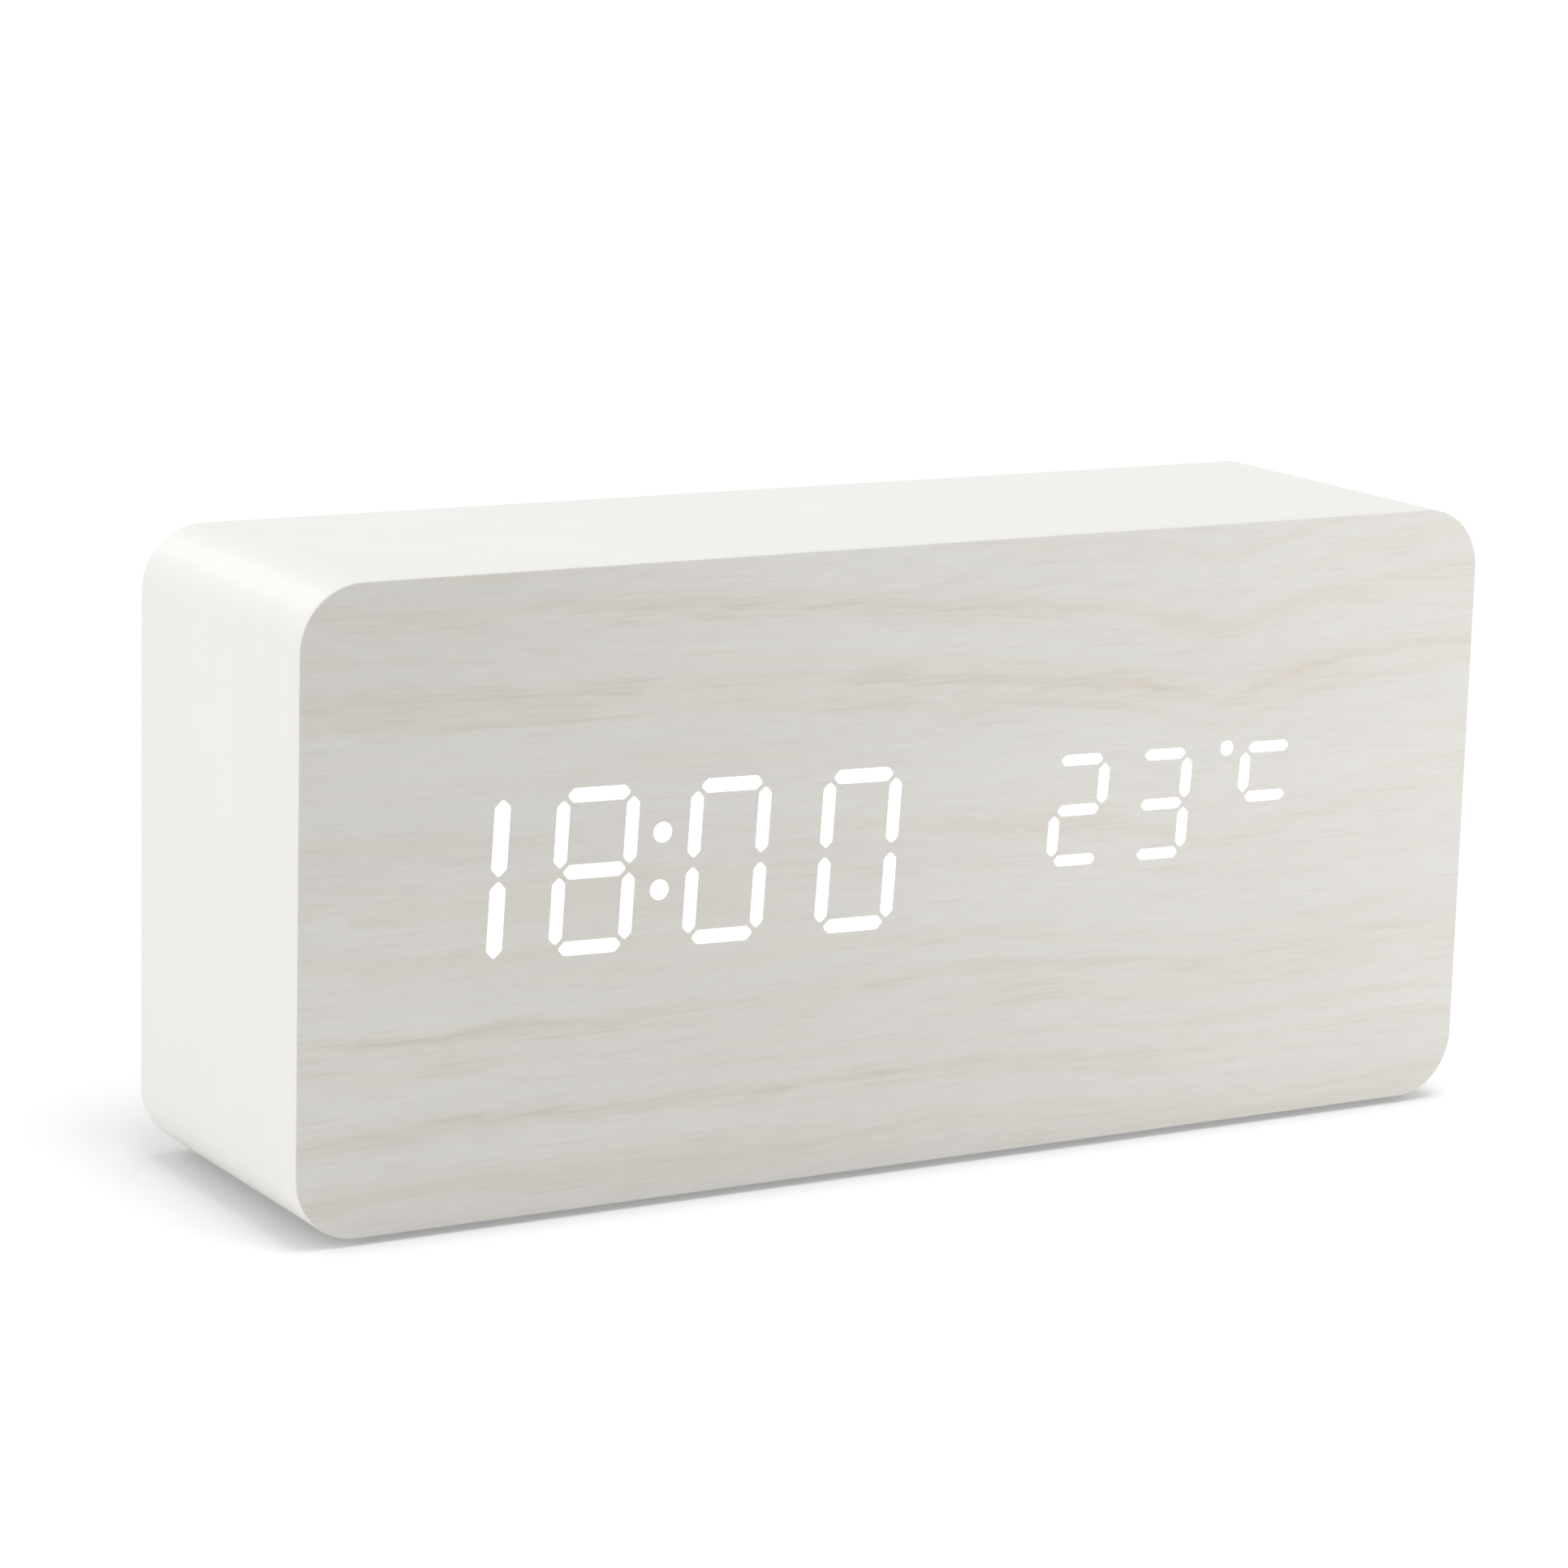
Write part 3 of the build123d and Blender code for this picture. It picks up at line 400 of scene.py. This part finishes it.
def veneer_finish():
    """Whitewashed wood: level fibres, thin brown pores, tan growth lines that dip on the right, and painted
    shade on the upper left.
    """
    finish = Finish("whitewashed_veneer", roughness=0.6, specular_ior_level=0.3)
    across = finish.along("X")
    up = finish.along("Z")
    wander = finish.noise((0.025, 0.0, 0.07), 2.0, 0.5, (3.1, 0, 0)) - 0.5
    shiver = finish.noise((0.16, 0.0, 0.6), 3.0, 0.6, (0, 0, 5.0)) - 0.5
    side = across - 40.0
    reach = (side * side + 9.0).root() + 1.0
    dip = reach.math("LOGARITHM", reach, math.e) * (up.step(15.0, 50.0) * 1.9 + 0.6)
    ring = 75.8 - up + dip + wander * 5.0 + shiver * 2.0
    drawn = finish.grooves(ring, growth_lines)
    glow = finish.grooves(ring, growth_bands)
    strand_place = finish.add("ShaderNodeCombineXYZ", None, {"X": ring * 1.1, "Y": across * 0.018}).out(0)
    strands = finish.noise_on(strand_place, 3.0, 0.6).step(0.42, 0.64)
    faint_place = finish.add("ShaderNodeCombineXYZ", None, {"X": ring * 0.42, "Y": across * 0.012}).out(0)
    faint = finish.noise_on(faint_place, 3.0, 0.6).step(0.46, 0.74)
    patches = finish.noise((0.04, 0.0, 0.13), 2.0, 0.5, (7.7, 0, 2.0)).step(0.34, 0.6)
    bands = finish.noise((0.014, 0.0, 0.1), 2.0, 0.5, (0, 0, 3.3)) - 0.5
    fibres = finish.noise((0.19, 0.0, 0.95), 4.0, 0.62, (1.3, 0, 0)) - 0.5
    threads = finish.noise((0.14, 0.0, 2.3), 3.0, 0.65) - 0.5
    pores = finish.noise((0.1, 0.0, 2.6), 3.0, 0.6, (0, 0, 9.0))
    vigour = (patches * 0.65 + 0.35) * (1.0 - across.step(-40.0, 30.0) * 0.2)
    figure = (drawn * 0.6 + glow * (strands * 0.55 + 0.3)) * vigour
    dashes = (pores + figure * 0.12).step(0.5, 0.72)
    # Painted shade: the upper left of the front is pushed towards the darker tone; the lower left is made
    # lighter.
    corner = up.step(44.0, 66.0) * (1.0 - across.step(-72.0, -5.0))
    lower = (1.0 - up.step(22.0, 52.0)) * (1.0 - across.step(-70.0, -20.0))
    grey = fibres * 0.45 + bands * 0.5 + threads * 0.3 + corner * 0.13 - lower * 0.2
    pale = srgb(221.5, 219.4, 215.2)
    # The darker tone of the wash: it serves the grain and also the painted shade on the upper left.
    worn_and_shaded = srgb(204, 201.5, 196.5)
    tan = srgb(206, 196, 180)
    pore_brown = srgb(184, 173, 157)
    washed_and_shaded = finish.blend(grey.step(-0.6, 0.75), pale, worn_and_shaded)
    tinted = finish.blend(figure * 0.52 + faint * 0.26, washed_and_shaded, tan)
    grained = finish.blend(dashes * (figure * 0.15 + 0.16), tinted, pore_brown)
    edge = finish.along("Y").step(-20.45, -20.36)
    finish.feed(base_color=finish.blend(edge, grained, srgb(243, 242, 238)), roughness=threads * 0.2 + 0.58)
    finish.feed(normal=finish.bump(threads * 0.5 + fibres * 0.5 - dashes, 0.25, 0.03))
    return finish.material


def foil_finish():
    """Smooth satin white with a trace of grain that runs round the block."""
    finish = Finish("white_foil", roughness=0.4, specular_ior_level=0.35)
    streaks = finish.noise((0.006, 0.55, 0.006), 4.0, 0.65)
    cloud = finish.noise((0.03, 0.05, 0.03), 2.0)
    tone = streaks * 0.6 + cloud * 0.4
    finish.feed(base_color=finish.blend(tone.step(0.2, 0.8), srgb(244, 243, 239), srgb(241, 240, 235.5)))
    finish.feed(roughness=streaks * 0.08 + 0.36, normal=finish.bump(streaks, 0.05, 0.02))
    return finish.material


def lit_finish():
    """A diffuser with a lamp behind it: what it gives off and what it throws back add up to white."""
    finish = Finish("lit_diffuser", base_color=srgb(172, 171, 168), roughness=0.5)
    haze = finish.noise((0.6, 0.0, 0.6), 2.0)
    light = finish.blend(haze, (1.0, 1.0, 1.0), (0.96, 0.96, 0.94))
    finish.feed(emission_color=light, emission_strength=0.68)
    return finish.material


def moulded_finish(name, colour, rough, grain=0.14, strength=0.3, spread=0.15):
    """Moulded plastic with a fine even texture and slight changes of tone."""
    finish = Finish(name, specular_ior_level=0.45)
    texture = finish.noise((1 / grain, 1 / grain, 1 / grain), 2.0, 0.6)
    cloud = finish.noise((0.06, 0.06, 0.06), 2.0)
    light = tuple(min(1.0, part * (1 + spread)) for part in colour)
    dark = tuple(part * (1 - spread) for part in colour)
    finish.feed(base_color=finish.blend(cloud * 0.7 + texture * 0.3, dark, light))
    finish.feed(roughness=texture * 0.14 + (rough - 0.07), normal=finish.bump(texture, strength, 0.02))
    return finish.material


def metal_finish(name, colour, rough):
    """Plated metal with faint draw marks."""
    finish = Finish(name, metallic=1.0)
    marks = finish.noise((0.25, 5.0, 5.0), 2.0, 0.5)
    cloud = finish.noise((0.2, 0.2, 0.2), 2.0)
    light = tuple(min(1.0, part * 1.04) for part in colour)
    dark = tuple(part * 0.9 for part in colour)
    finish.feed(base_color=finish.blend(cloud * 0.6 + marks * 0.4, dark, light))
    finish.feed(roughness=marks * 0.1 + (rough - 0.05))
    return finish.material


def fibreboard_finish():
    """Primed fibreboard: an even white with short felted fibres."""
    finish = Finish("primed_fibreboard", roughness=0.75, specular_ior_level=0.25)
    felt = finish.noise((1.4, 1.4, 1.4), 4.0, 0.7, warp=0.6)
    cloud = finish.noise((0.08, 0.08, 0.08), 2.0)
    finish.feed(base_color=finish.blend(felt * 0.6 + cloud * 0.4, srgb(236, 234, 228), srgb(222, 219, 211)))
    finish.feed(normal=finish.bump(felt, 0.35, 0.05))
    return finish.material


def board_finish():
    """Green solder mask over copper, with paler tracks."""
    finish = Finish("solder_mask", roughness=0.35, coat_weight=0.3)
    values = {"Vector": finish.scaled((0.35, 0.0, 0.35)), "Scale": 1.0}
    edges = finish.add("ShaderNodeTexVoronoi", {"feature": "DISTANCE_TO_EDGE"}, values).out("Distance")
    finish.feed(base_color=finish.blend(edges.step(0.05, 0.09), srgb(52, 122, 70), srgb(26, 84, 48)))
    return finish.material


def jacket_finish():
    """A plain printed cell jacket, blue-grey with a pale band by the raised end."""
    finish = Finish("cell_jacket", roughness=0.32, coat_weight=0.2)
    reach = finish.add("ShaderNodeAttribute", {"attribute_name": "reach"}).out("Fac")
    ripple = finish.noise((0.3, 0.3, 0.3), 2.0)
    body = finish.blend(ripple, srgb(58, 86, 112), srgb(68, 98, 126))
    band = reach.step(0.775, 0.78)
    finish.feed(base_color=finish.blend(band, body, srgb(214, 216, 216)))
    return finish.material


finishes = {
    "veneer": veneer_finish(),
    "lit_window": lit_finish(),
    "white_foil": foil_finish(),
    "fibreboard": fibreboard_finish(),
    "foot_pad": moulded_finish("foot_foam", srgb(40, 40, 41), 0.85, 0.4, 0.6),
    "black_film": moulded_finish("printed_film", srgb(24, 24, 24), 0.4, 0.5, 0.1),
    "white_moulding": moulded_finish("white_moulding", srgb(238, 238, 235), 0.45, 0.3, 0.15, 0.02),
    "led_resin": moulded_finish("led_resin", srgb(240, 226, 150), 0.25, 0.3, 0.1, 0.06),
    "circuit_board": board_finish(),
    "nylon": moulded_finish("natural_nylon", srgb(232, 228, 214), 0.4, 0.3, 0.15, 0.03),
    "screw_steel": metal_finish("plated_screw", srgb(188, 188, 190), 0.32),
    "chip_resin": moulded_finish("chip_resin", srgb(34, 34, 36), 0.55, 0.12),
    "can_metal": metal_finish("drawn_can", srgb(205, 205, 204), 0.3),
    "black_moulding": moulded_finish("black_cover", srgb(33, 33, 34), 0.52, 0.16, 0.45),
    "key_plastic": moulded_finish("black_keys", srgb(40, 40, 41), 0.42, 0.1, 0.15),
    "switch_plastic": moulded_finish("switch_black", srgb(30, 30, 31), 0.45, 0.15, 0.2),
    "contact_metal": metal_finish("nickel_contact", srgb(212, 208, 198), 0.28),
    "cell_jacket": jacket_finish(),
    "red_insulation": moulded_finish("red_insulation", srgb(178, 30, 28), 0.4, 0.3, 0.1),
    "black_insulation": moulded_finish("black_insulation", srgb(30, 30, 30), 0.4, 0.3, 0.1),
    "grey_insulation": moulded_finish("grey_insulation", srgb(176, 176, 178), 0.45, 0.3, 0.1, 0.04),
}
key_paint = moulded_finish("key_paint", srgb(222, 222, 220), 0.5, 0.2, 0.1, 0.03)
for part in frame["record"]["subparts"]:
    for slot in nodes[part["node"]].material_slots:
        slot.material = finishes[part["material_slot"]]


# The front: a veneer sheet with an opening for each lit stroke, and the windows that fill the openings

def bar_outline(length, bar):
    """A level bar with a point at each end."""
    half, tip = length / 2, bar / 2
    return [(-half, 0), (tip - half, -tip), (half - tip, -tip),
            (half, 0), (half - tip, tip), (tip - half, tip)]


def rounded(outline, radius):
    """The outline with a short curve in place of each corner."""
    points = [Vector(point) for point in outline]
    out = []
    for before, corner, after in zip(points[-1:] + points[:-1], points, points[1:] + points[:1]):
        back = (before - corner).normalized()
        ahead = (after - corner).normalized()
        reach = radius / math.tan(back.angle(ahead) / 2)
        start = corner + back * reach
        end = corner + ahead * reach
        for share in (0, 0.25, 0.5, 0.75, 1):
            out.append(start.lerp(corner, share).lerp(corner.lerp(end, share), share))
    return out


def digit_outlines(shown, centre, size):
    """The lit strokes of one digit, leaning and tilted as the display is."""
    rise, reach = size["rise"], size["reach"]
    level = bar_outline(*size["level"])
    upright = [(z, x) for x, z in bar_outline(*size["upright"])]
    places = {"a": (level, 0, rise), "g": (level, 0, 0), "d": (level, 0, -rise),
              "b": (upright, reach, rise / 2), "c": (upright, reach, -rise / 2),
              "e": (upright, -reach, -rise / 2), "f": (upright, -reach, rise / 2)}
    out = []
    for name in lit_bars[shown]:
        outline, right, high = places[name]
        local = [(right + x, high + z) for x, z in outline]
        placed = [(centre[0] + x + z * display_lean, centre[1] + z + x * display_tilt) for x, z in local]
        out.append(rounded(placed, size["corner"]))
    return out


def outlines_of(digits, dots, dot_radius):
    """The strokes of a row of digits, then its dots."""
    out = []
    for shown, centre, size in digits:
        out += digit_outlines(shown, centre, size)
    return out + [ring_of(x, z, dot_radius, dot_steps) for x, z in dots]


def front_ring(inset):
    """Points round the front, drawn in by an inset."""
    middle_x = case_width / 2 - corner_radius
    middle_z = case_height / 2 - corner_radius
    radius = corner_radius - inset
    out = []
    for quarter, (side, level) in enumerate(((1, 1), (-1, 1), (-1, -1), (1, -1))):
        for step in range(corner_steps + 1):
            turn = math.pi / 2 * (quarter + step / corner_steps)
            out.append((side * middle_x + radius * math.cos(turn),
                        centre_z + level * middle_z + radius * math.sin(turn)))
    return out


def sheet_mesh(name, holes):
    """The veneer: a rounded front edge, straight sides and the openings."""
    shape = bmesh.new()
    turns = [math.radians(step) for step in (0, 30, 60, 90)]
    rim = [(front_ring(veneer_edge_round * (1 - math.sin(turn))),
            front_y + veneer_edge_round * (1 - math.cos(turn))) for turn in turns]
    rim.append((front_ring(0), veneer_back_y))
    walls = [rim] + [[(hole, front_y), (hole, veneer_back_y)] for hole in holes]
    ends = ([], [])
    for wall in walls:
        rings = [[shape.verts.new((x * MM, y * MM, z * MM)) for x, z in points] for points, y in wall]
        for low, high in zip(rings, rings[1:]):
            for step in range(len(low)):
                shape.faces.new((low[step - 1], low[step], high[step], high[step - 1]))
        for edges, ring in zip(ends, (rings[0], rings[-1])):
            edges += [shape.edges.get((ring[step - 1], ring[step])) for step in range(len(ring))]
    for edges in ends:
        bmesh.ops.triangle_fill(shape, edges=edges, use_beauty=True)
    return finished_mesh(name, shape)


def add_front():
    lit = {"time_windows": outlines_of(time_digits, colon_dots, colon_radius),
           "temperature_windows": outlines_of(temperature_digits, degree_dots, degree_radius)}
    sheet = add_object("veneer_sheet", sheet_mesh("veneer_sheet", sum(lit.values(), [])))
    sheet.data.materials.append(finishes["veneer"])
    settle(sheet, "clock_case", ["front_veneer"], 15.0)
    for name, outlines in lit.items():
        windows = add_object(name, prism(name, outlines, veneer_back_y, front_y, window_ease))
        windows.data.materials.append(finishes["lit_window"])
        settle(windows, "clock_case", [name.replace("windows", "light_windows")])


# The foil: one strip folded round the block, with its seam underneath

def wrap_recipe():
    sizes = {"Thickness": "Float", "Depth": "Float", "Corner Radius": "Float", "Edge Round": "Float",
             "Middle": "Vector"}
    recipe = Recipe("foil_wrap", sizes)
    path = recipe.add("GeometryNodeMeshToCurve", None, {"Mesh": recipe.get("Geometry")}).out(0)
    values = {"Curve": path, "Radius": recipe.get("Corner Radius"), "Count": corner_steps}
    bent = recipe.add("GeometryNodeFilletCurve", {"mode": "POLY"}, values).out(0)
    upright = recipe.add("GeometryNodeSetCurveNormal", {"mode": "Z_UP"}, {"Curve": bent}).out(0)
    values = {"Width": recipe.get("Thickness"), "Height": recipe.get("Depth")}
    strip = recipe.add("GeometryNodeCurvePrimitiveQuadrilateral", {"mode": "RECTANGLE"}, values).out(0)
    values = {"Curve": strip, "Radius": recipe.get("Edge Round"), "Count": 4}
    eased = recipe.add("GeometryNodeFilletCurve", {"mode": "POLY"}, values).out(0)
    values = {"Curve": upright, "Profile Curve": eased, "Fill Caps": True}
    band = recipe.add("GeometryNodeCurveToMesh", None, values).out(0)
    values = {"Geometry": band, "Translation": recipe.get("Middle"), "Rotation": (math.pi / 2, 0, 0)}
    recipe.end(recipe.add("GeometryNodeTransform", None, values).out(0))
    return recipe


def add_foil_wrap():
    half_width = (case_width - foil_thickness) / 2
    half_height = (case_height - foil_thickness) / 2
    corners = [(seam_gap / 2, -half_height, 0), (half_width, -half_height, 0),
               (half_width, half_height, 0), (-half_width, half_height, 0),
               (-half_width, -half_height, 0), (-seam_gap / 2, -half_height, 0)]
    path = points_mesh("foil_path", corners, [(step, step + 1) for step in range(len(corners) - 1)])
    middle = Vector((0, (rear_y + veneer_back_y) / 2, centre_z)) * MM
    wrap = wrap_recipe().make("foil_wrap", path, thickness=foil_thickness * MM,
                              depth=(rear_y - veneer_back_y) * MM,
                              corner_radius=(corner_radius - foil_thickness / 2) * MM,
                              edge_round=foil_edge_round * MM, middle=middle, material=finishes["white_foil"])
    settle(wrap, "clock_case", ["side_foil"], 10.0)


# Repeated turned pieces: one shape set out on points

def set_out_recipe():
    sizes = {"Shape": "Object", "Aim": "Vector", "Spin Range": "Float", "Flip": "Float", "Seed": "Int"}
    recipe = Recipe("set_out", sizes)
    shape = recipe.add("GeometryNodeObjectInfo", None, {"Object": recipe.get("Shape")}).out("Geometry")
    odd = recipe.add("GeometryNodeInputIndex").out(0) % 2.0
    side = 1.0 - odd * recipe.get("Flip") * 2.0
    aim = recipe.add("ShaderNodeVectorMath", {"operation": "SCALE"},
                     {0: recipe.get("Aim"), "Scale": side}).out(0)
    facing = recipe.add("FunctionNodeAlignRotationToVector", {"axis": "Z"}, {"Vector": aim}).out(0)
    values = {"Min_001": 0.0, "Max_001": recipe.get("Spin Range"), "Seed": recipe.get("Seed")}
    spin = recipe.add("FunctionNodeRandomValue", {"data_type": "FLOAT"}, values).out("Value_001")
    about = recipe.add("FunctionNodeAxisAngleToRotation", None, {"Axis": (0, 0, 1), "Angle": spin}).out(0)
    turned = recipe.add("FunctionNodeRotateRotation", {"rotation_space": "LOCAL"},
                        {"Rotation": facing, "Rotate By": about}).out(0)
    values = {"Points": recipe.get("Geometry"), "Instance": shape, "Rotation": turned}
    recipe.end(recipe.add("GeometryNodeInstanceOnPoints", None, values).out(0))
    return recipe


def set_out(recipe, name, mesh, points, material, aim, spin=0.0, flip=0.0):
    shape = add_object(name + "_shape", mesh)
    piece = recipe.make(name, points_mesh(name + "_points", points), shape=shape, aim=aim, spin_range=spin,
                        flip=flip, seed=3, material=material)
    bpy.data.objects.remove(shape)
    return piece


def screw_mesh():
    """A pan-head screw with a cross recess; nought is the seat of its head."""
    profile = [(0, -11.1), (0.5, -11.1), (1.2, -9.9), (1.2, 0.0), (2.3, 0.0), (2.4, 0.1), (2.4, 0.75)]
    profile += [(2.4 - 0.9 * (1 - math.cos(turn)), 0.75 + 0.6 * math.sin(turn))
                for turn in (math.radians(step) for step in range(15, 91, 15))]
    profile += [(0.8, 1.45), (0, 1.5)]
    head = add_object("screw_blank", lathe("screw_blank", profile, 40))
    arms = []
    for wide, deep in ((1.35, 0.28), (0.28, 1.35)):
        arms.append([(wide, deep), (-wide, deep), (-wide, -deep), (wide, -deep)])
    shape = bmesh.new()
    for arm in arms:
        top = [shape.verts.new((x * MM, y * MM, 2.0 * MM)) for x, y in arm]
        low = [shape.verts.new((x * 0.55 * MM, y * 0.75 * MM, 0.55 * MM)) for x, y in arm]
        shape.faces.new(top)
        shape.faces.new(low)
        for step in range(4):
            shape.faces.new((low[step], low[(step + 1) % 4], top[(step + 1) % 4], top[step]))
    cutter = add_object("recess", finished_mesh("recess", shape))
    cut = head.modifiers.new("recess", "BOOLEAN")
    cut.operation = "DIFFERENCE"
    cut.solver = "EXACT"
    cut.use_self = True
    cut.object = cutter
    mesh = bpy.data.meshes.new_from_object(head.evaluated_get(bpy.context.evaluated_depsgraph_get()))
    bpy.data.objects.remove(head)
    bpy.data.objects.remove(cutter)
    return mesh


def add_cover_screws(recipe):
    places = [(x * screw_x, cover_y - screw_seat, centre_z + z * screw_z) for x in (-1, 1) for z in (-1, 1)]
    screws = set_out(recipe, "cover_screw_set", screw_mesh(), places, finishes["screw_steel"],
                     aim=(0, 1, 0), spin=screw_spin)
    settle(screws, "clock_case", ["cover_screws"], 35.0)


def jacket_mesh():
    """The printed jacket of a cell, rolled in over both ends."""
    length = cell_length - 0.9
    neck = cell_radius - cell_roll
    roll = [(math.cos(turn), math.sin(turn)) for turn in (math.radians(step) for step in range(0, 91, 15))]
    profile = [(0, 0.3), (3.9, 0.3), (4.0, 0.05)]
    profile += [(neck + cell_roll * x, cell_roll - cell_roll * z) for x, z in reversed(roll)]
    profile += [(cell_radius, length * share) for share in (0.25, 0.5, 0.75)]
    profile += [(neck + cell_roll * x, length - cell_roll + cell_roll * z) for x, z in roll]
    profile += [(3.6, length - 0.05), (3.5, length - 0.3), (0, length - 0.3)]
    mesh = lathe("cell_jacket_shape", profile, 48)
    reach = mesh.attributes.new("reach", "FLOAT", "POINT")
    reach.data.foreach_set("value", [vertex.co.z / (cell_length * MM) for vertex in mesh.vertices])
    return mesh


def cell_end_mesh():
    """The steel of a cell: the flat end with its dimple, and the raised end."""
    shoulder = cell_length - 1.15
    profile = [(0, 0.22), (2.6, 0.16), (3.0, 0.02), (3.85, 0.02), (3.85, 0.6), (1.5, 0.6)]
    profile += [(1.5, shoulder - 0.6), (3.4, shoulder - 0.6), (3.4, shoulder), (2.2, shoulder + 0.1)]
    profile += [(1.95, shoulder + 0.25), (1.9, cell_length - 0.25), (1.65, cell_length), (0, cell_length)]
    return lathe("cell_end_shape", profile, 40)


def add_cells(recipe):
    places = [(start, cell_y, centre_z + (1 - index) * cell_pitch) for index, start in enumerate(cell_starts)]
    jackets = set_out(recipe, "cell_jackets", jacket_mesh(), places, finishes["cell_jacket"],
                      aim=(1, 0, 0), flip=1.0)
    settle(jackets, "clock_case", ["battery_cells"], 35.0)
    ends = set_out(recipe, "cell_ends", cell_end_mesh(), places, finishes["contact_metal"],
                   aim=(1, 0, 0), flip=1.0)
    settle(ends, "clock_case", (), 35.0)


# Painted marks on the keys and a moulded arrow on the door

def add_marks():
    low, high = key_z - key_mark_shift, key_z + key_mark_shift
    shapes = {
        "up_button": ring_of(key_places["up_button"], low, key_mark_radius, 3, math.pi / 2),
        "down_button": ring_of(key_places["down_button"], high, key_mark_radius, 3, -math.pi / 2),
        "set_button": ring_of(key_places["set_button"], key_z, set_mark_radius, 32),
    }
    for body, outline in shapes.items():
        name = body.replace("button", "mark")
        raised = prism(name, [outline], key_top_y - paint_depth, key_top_y + paint_height, paint_ease)
        mark = add_object(name, raised)
        mark.data.materials.append(key_paint)
        settle(mark, body)
    arrow = ring_of(arrow_x, centre_z, arrow_radius, 3)
    raised = prism("door_arrow", [arrow], cover_y - arrow_depth, cover_y + arrow_height, arrow_ease)
    pointer = add_object("door_arrow", raised)
    pointer.data.materials.append(finishes["black_moulding"])
    settle(pointer, "battery_door")


add_front()
add_foil_wrap()
setting = set_out_recipe()
add_cover_screws(setting)
add_cells(setting)
add_marks()


# Camera, fitted to the edges of the front, top and left side

camera_angles = (-30.339, 11.928, 1.584)
camera_target = (-5.466, 0.0, 40.519)
camera_distance = 575.49
picture_side = 1932
focal_pixels = 6279.91
sensor_width = 36.0


def add_camera():
    azimuth, elevation, roll = (math.radians(angle) for angle in camera_angles)
    level = math.cos(elevation)
    back = Vector((math.sin(azimuth) * level, -math.cos(azimuth) * level, math.sin(elevation)))
    right = Vector((0, 0, 1)).cross(back).normalized()
    up = back.cross(right)
    axes = Matrix((right * math.cos(roll) + up * math.sin(roll),
                   up * math.cos(roll) - right * math.sin(roll), back))
    data = bpy.data.cameras.new("front_camera")
    data.sensor_width = sensor_width
    data.lens = focal_pixels / picture_side * sensor_width
    data.clip_start = 0.01
    camera = bpy.data.objects.new("front_camera", data)
    place = Vector(camera_target) * MM + back * (camera_distance * MM)
    camera.matrix_world = Matrix.Translation(place) @ axes.transposed().to_4x4()
    bpy.context.collection.objects.link(camera)
    bpy.context.scene.camera = camera


# Light, floor and background

def add_lamp(name, kind, place, aim, power, **shape):
    data = bpy.data.lights.new(name, kind)
    data.energy = power
    for key, value in shape.items():
        setattr(data, key, value)
    lamp = bpy.data.objects.new(name, data)
    lamp.location = place
    lamp.rotation_euler = (Vector(aim) - Vector(place)).to_track_quat("-Z", "Y").to_euler()
    bpy.context.collection.objects.link(lamp)


def seen_directly(bench):
    """One for a ray from the camera, a mirror-like surface or glass, and nought for others."""
    path = bench.add("ShaderNodeLightPath")
    glossy = path.out("Is Glossy Ray")
    mirrored = glossy.math("MAXIMUM", glossy, path.out("Is Transmission Ray"))
    return mirrored.math("MAXIMUM", mirrored, path.out("Is Camera Ray"))


def add_world(strength):
    world = bpy.data.worlds.new("studio")
    bpy.context.scene.world = world
    world.use_nodes = True
    bench = Bench(world.node_tree)
    background = next(node for node in world.node_tree.nodes if node.type == "BACKGROUND")
    bench.plug(background.inputs["Color"], (1.0, 1.0, 1.0))
    bench.plug(background.inputs["Strength"], seen_directly(bench) * (1.0 - strength) + strength)


def add_floor(tone, lift):
    """A wide pale floor; seen directly it is lifted to white and keeps the shadow, with a painted contact
    shadow near the block.
    """
    half = 4.0
    corners = [(-half, -half, 0), (half, -half, 0), (half, half, 0), (-half, half, 0)]
    mesh = bpy.data.meshes.new("floor")
    mesh.from_pydata(corners, [], [(0, 1, 2, 3)])
    floor = add_object("floor", mesh)
    material = bpy.data.materials.new("pale_floor")
    material.use_nodes = True
    bench = Bench(material.node_tree)
    bench.tree.nodes.clear()
    # Painted contact shadow: close to the block, ambient occlusion darkens the floor's colour to 0.6 of its
    # tone.
    close, wide = (bench.add("ShaderNodeAmbientOcclusion", {"samples": 4}, {"Distance": reach}).out("AO")
                   for reach in (5 * MM, 20 * MM))
    values = {"Factor_Float": close, "A_Color": (tone * 0.6,) * 3, "B_Color": (tone,) * 3}
    shaded = bench.add("ShaderNodeMix", {"data_type": "RGBA"}, values).out("Result_Color")
    matt = bench.add("ShaderNodeBsdfDiffuse", None, {"Color": shaded}).out(0)
    # Painted shadow and light: the lift is weakened where the floor is partly shut in, out to 20 mm, and
    # raised to 1.5 times in the deepest gap under the block.
    values = {"Color": (1.0 - close) * 1.5 + close * wide, "Strength": lift}
    glow = bench.add("ShaderNodeEmission", None, values).out(0)
    lifted = bench.add("ShaderNodeAddShader", None, {0: matt, 1: glow}).out(0)
    chosen = bench.add("ShaderNodeMixShader", None, {0: seen_directly(bench), 1: matt, 2: lifted}).out(0)
    bench.add("ShaderNodeOutputMaterial", None, {"Surface": chosen})
    mesh.materials.append(material)


add_camera()
add_world(0.55)
add_floor(0.92, 0.185)
add_lamp("key_light", "SUN", (0.06, -0.12, 0.708), (0, 0, 0), 1.07, angle=math.radians(30))
add_lamp("rim_light", "SUN", (-0.19, 0.84, 0.48), (0, 0, 0), 0.2, angle=math.radians(25))
add_lamp("left_lamp", "AREA", (-1.2, -0.12, 0.3), (0, 0, 0.03), 2.85, shape="DISK", size=0.6)
add_lamp("right_lamp", "AREA", (0.14, -0.22, 0.045), (0.14, 0, 0.045), 0.145, shape="DISK", size=0.08)

bpy.context.scene.view_settings.view_transform = "Standard"
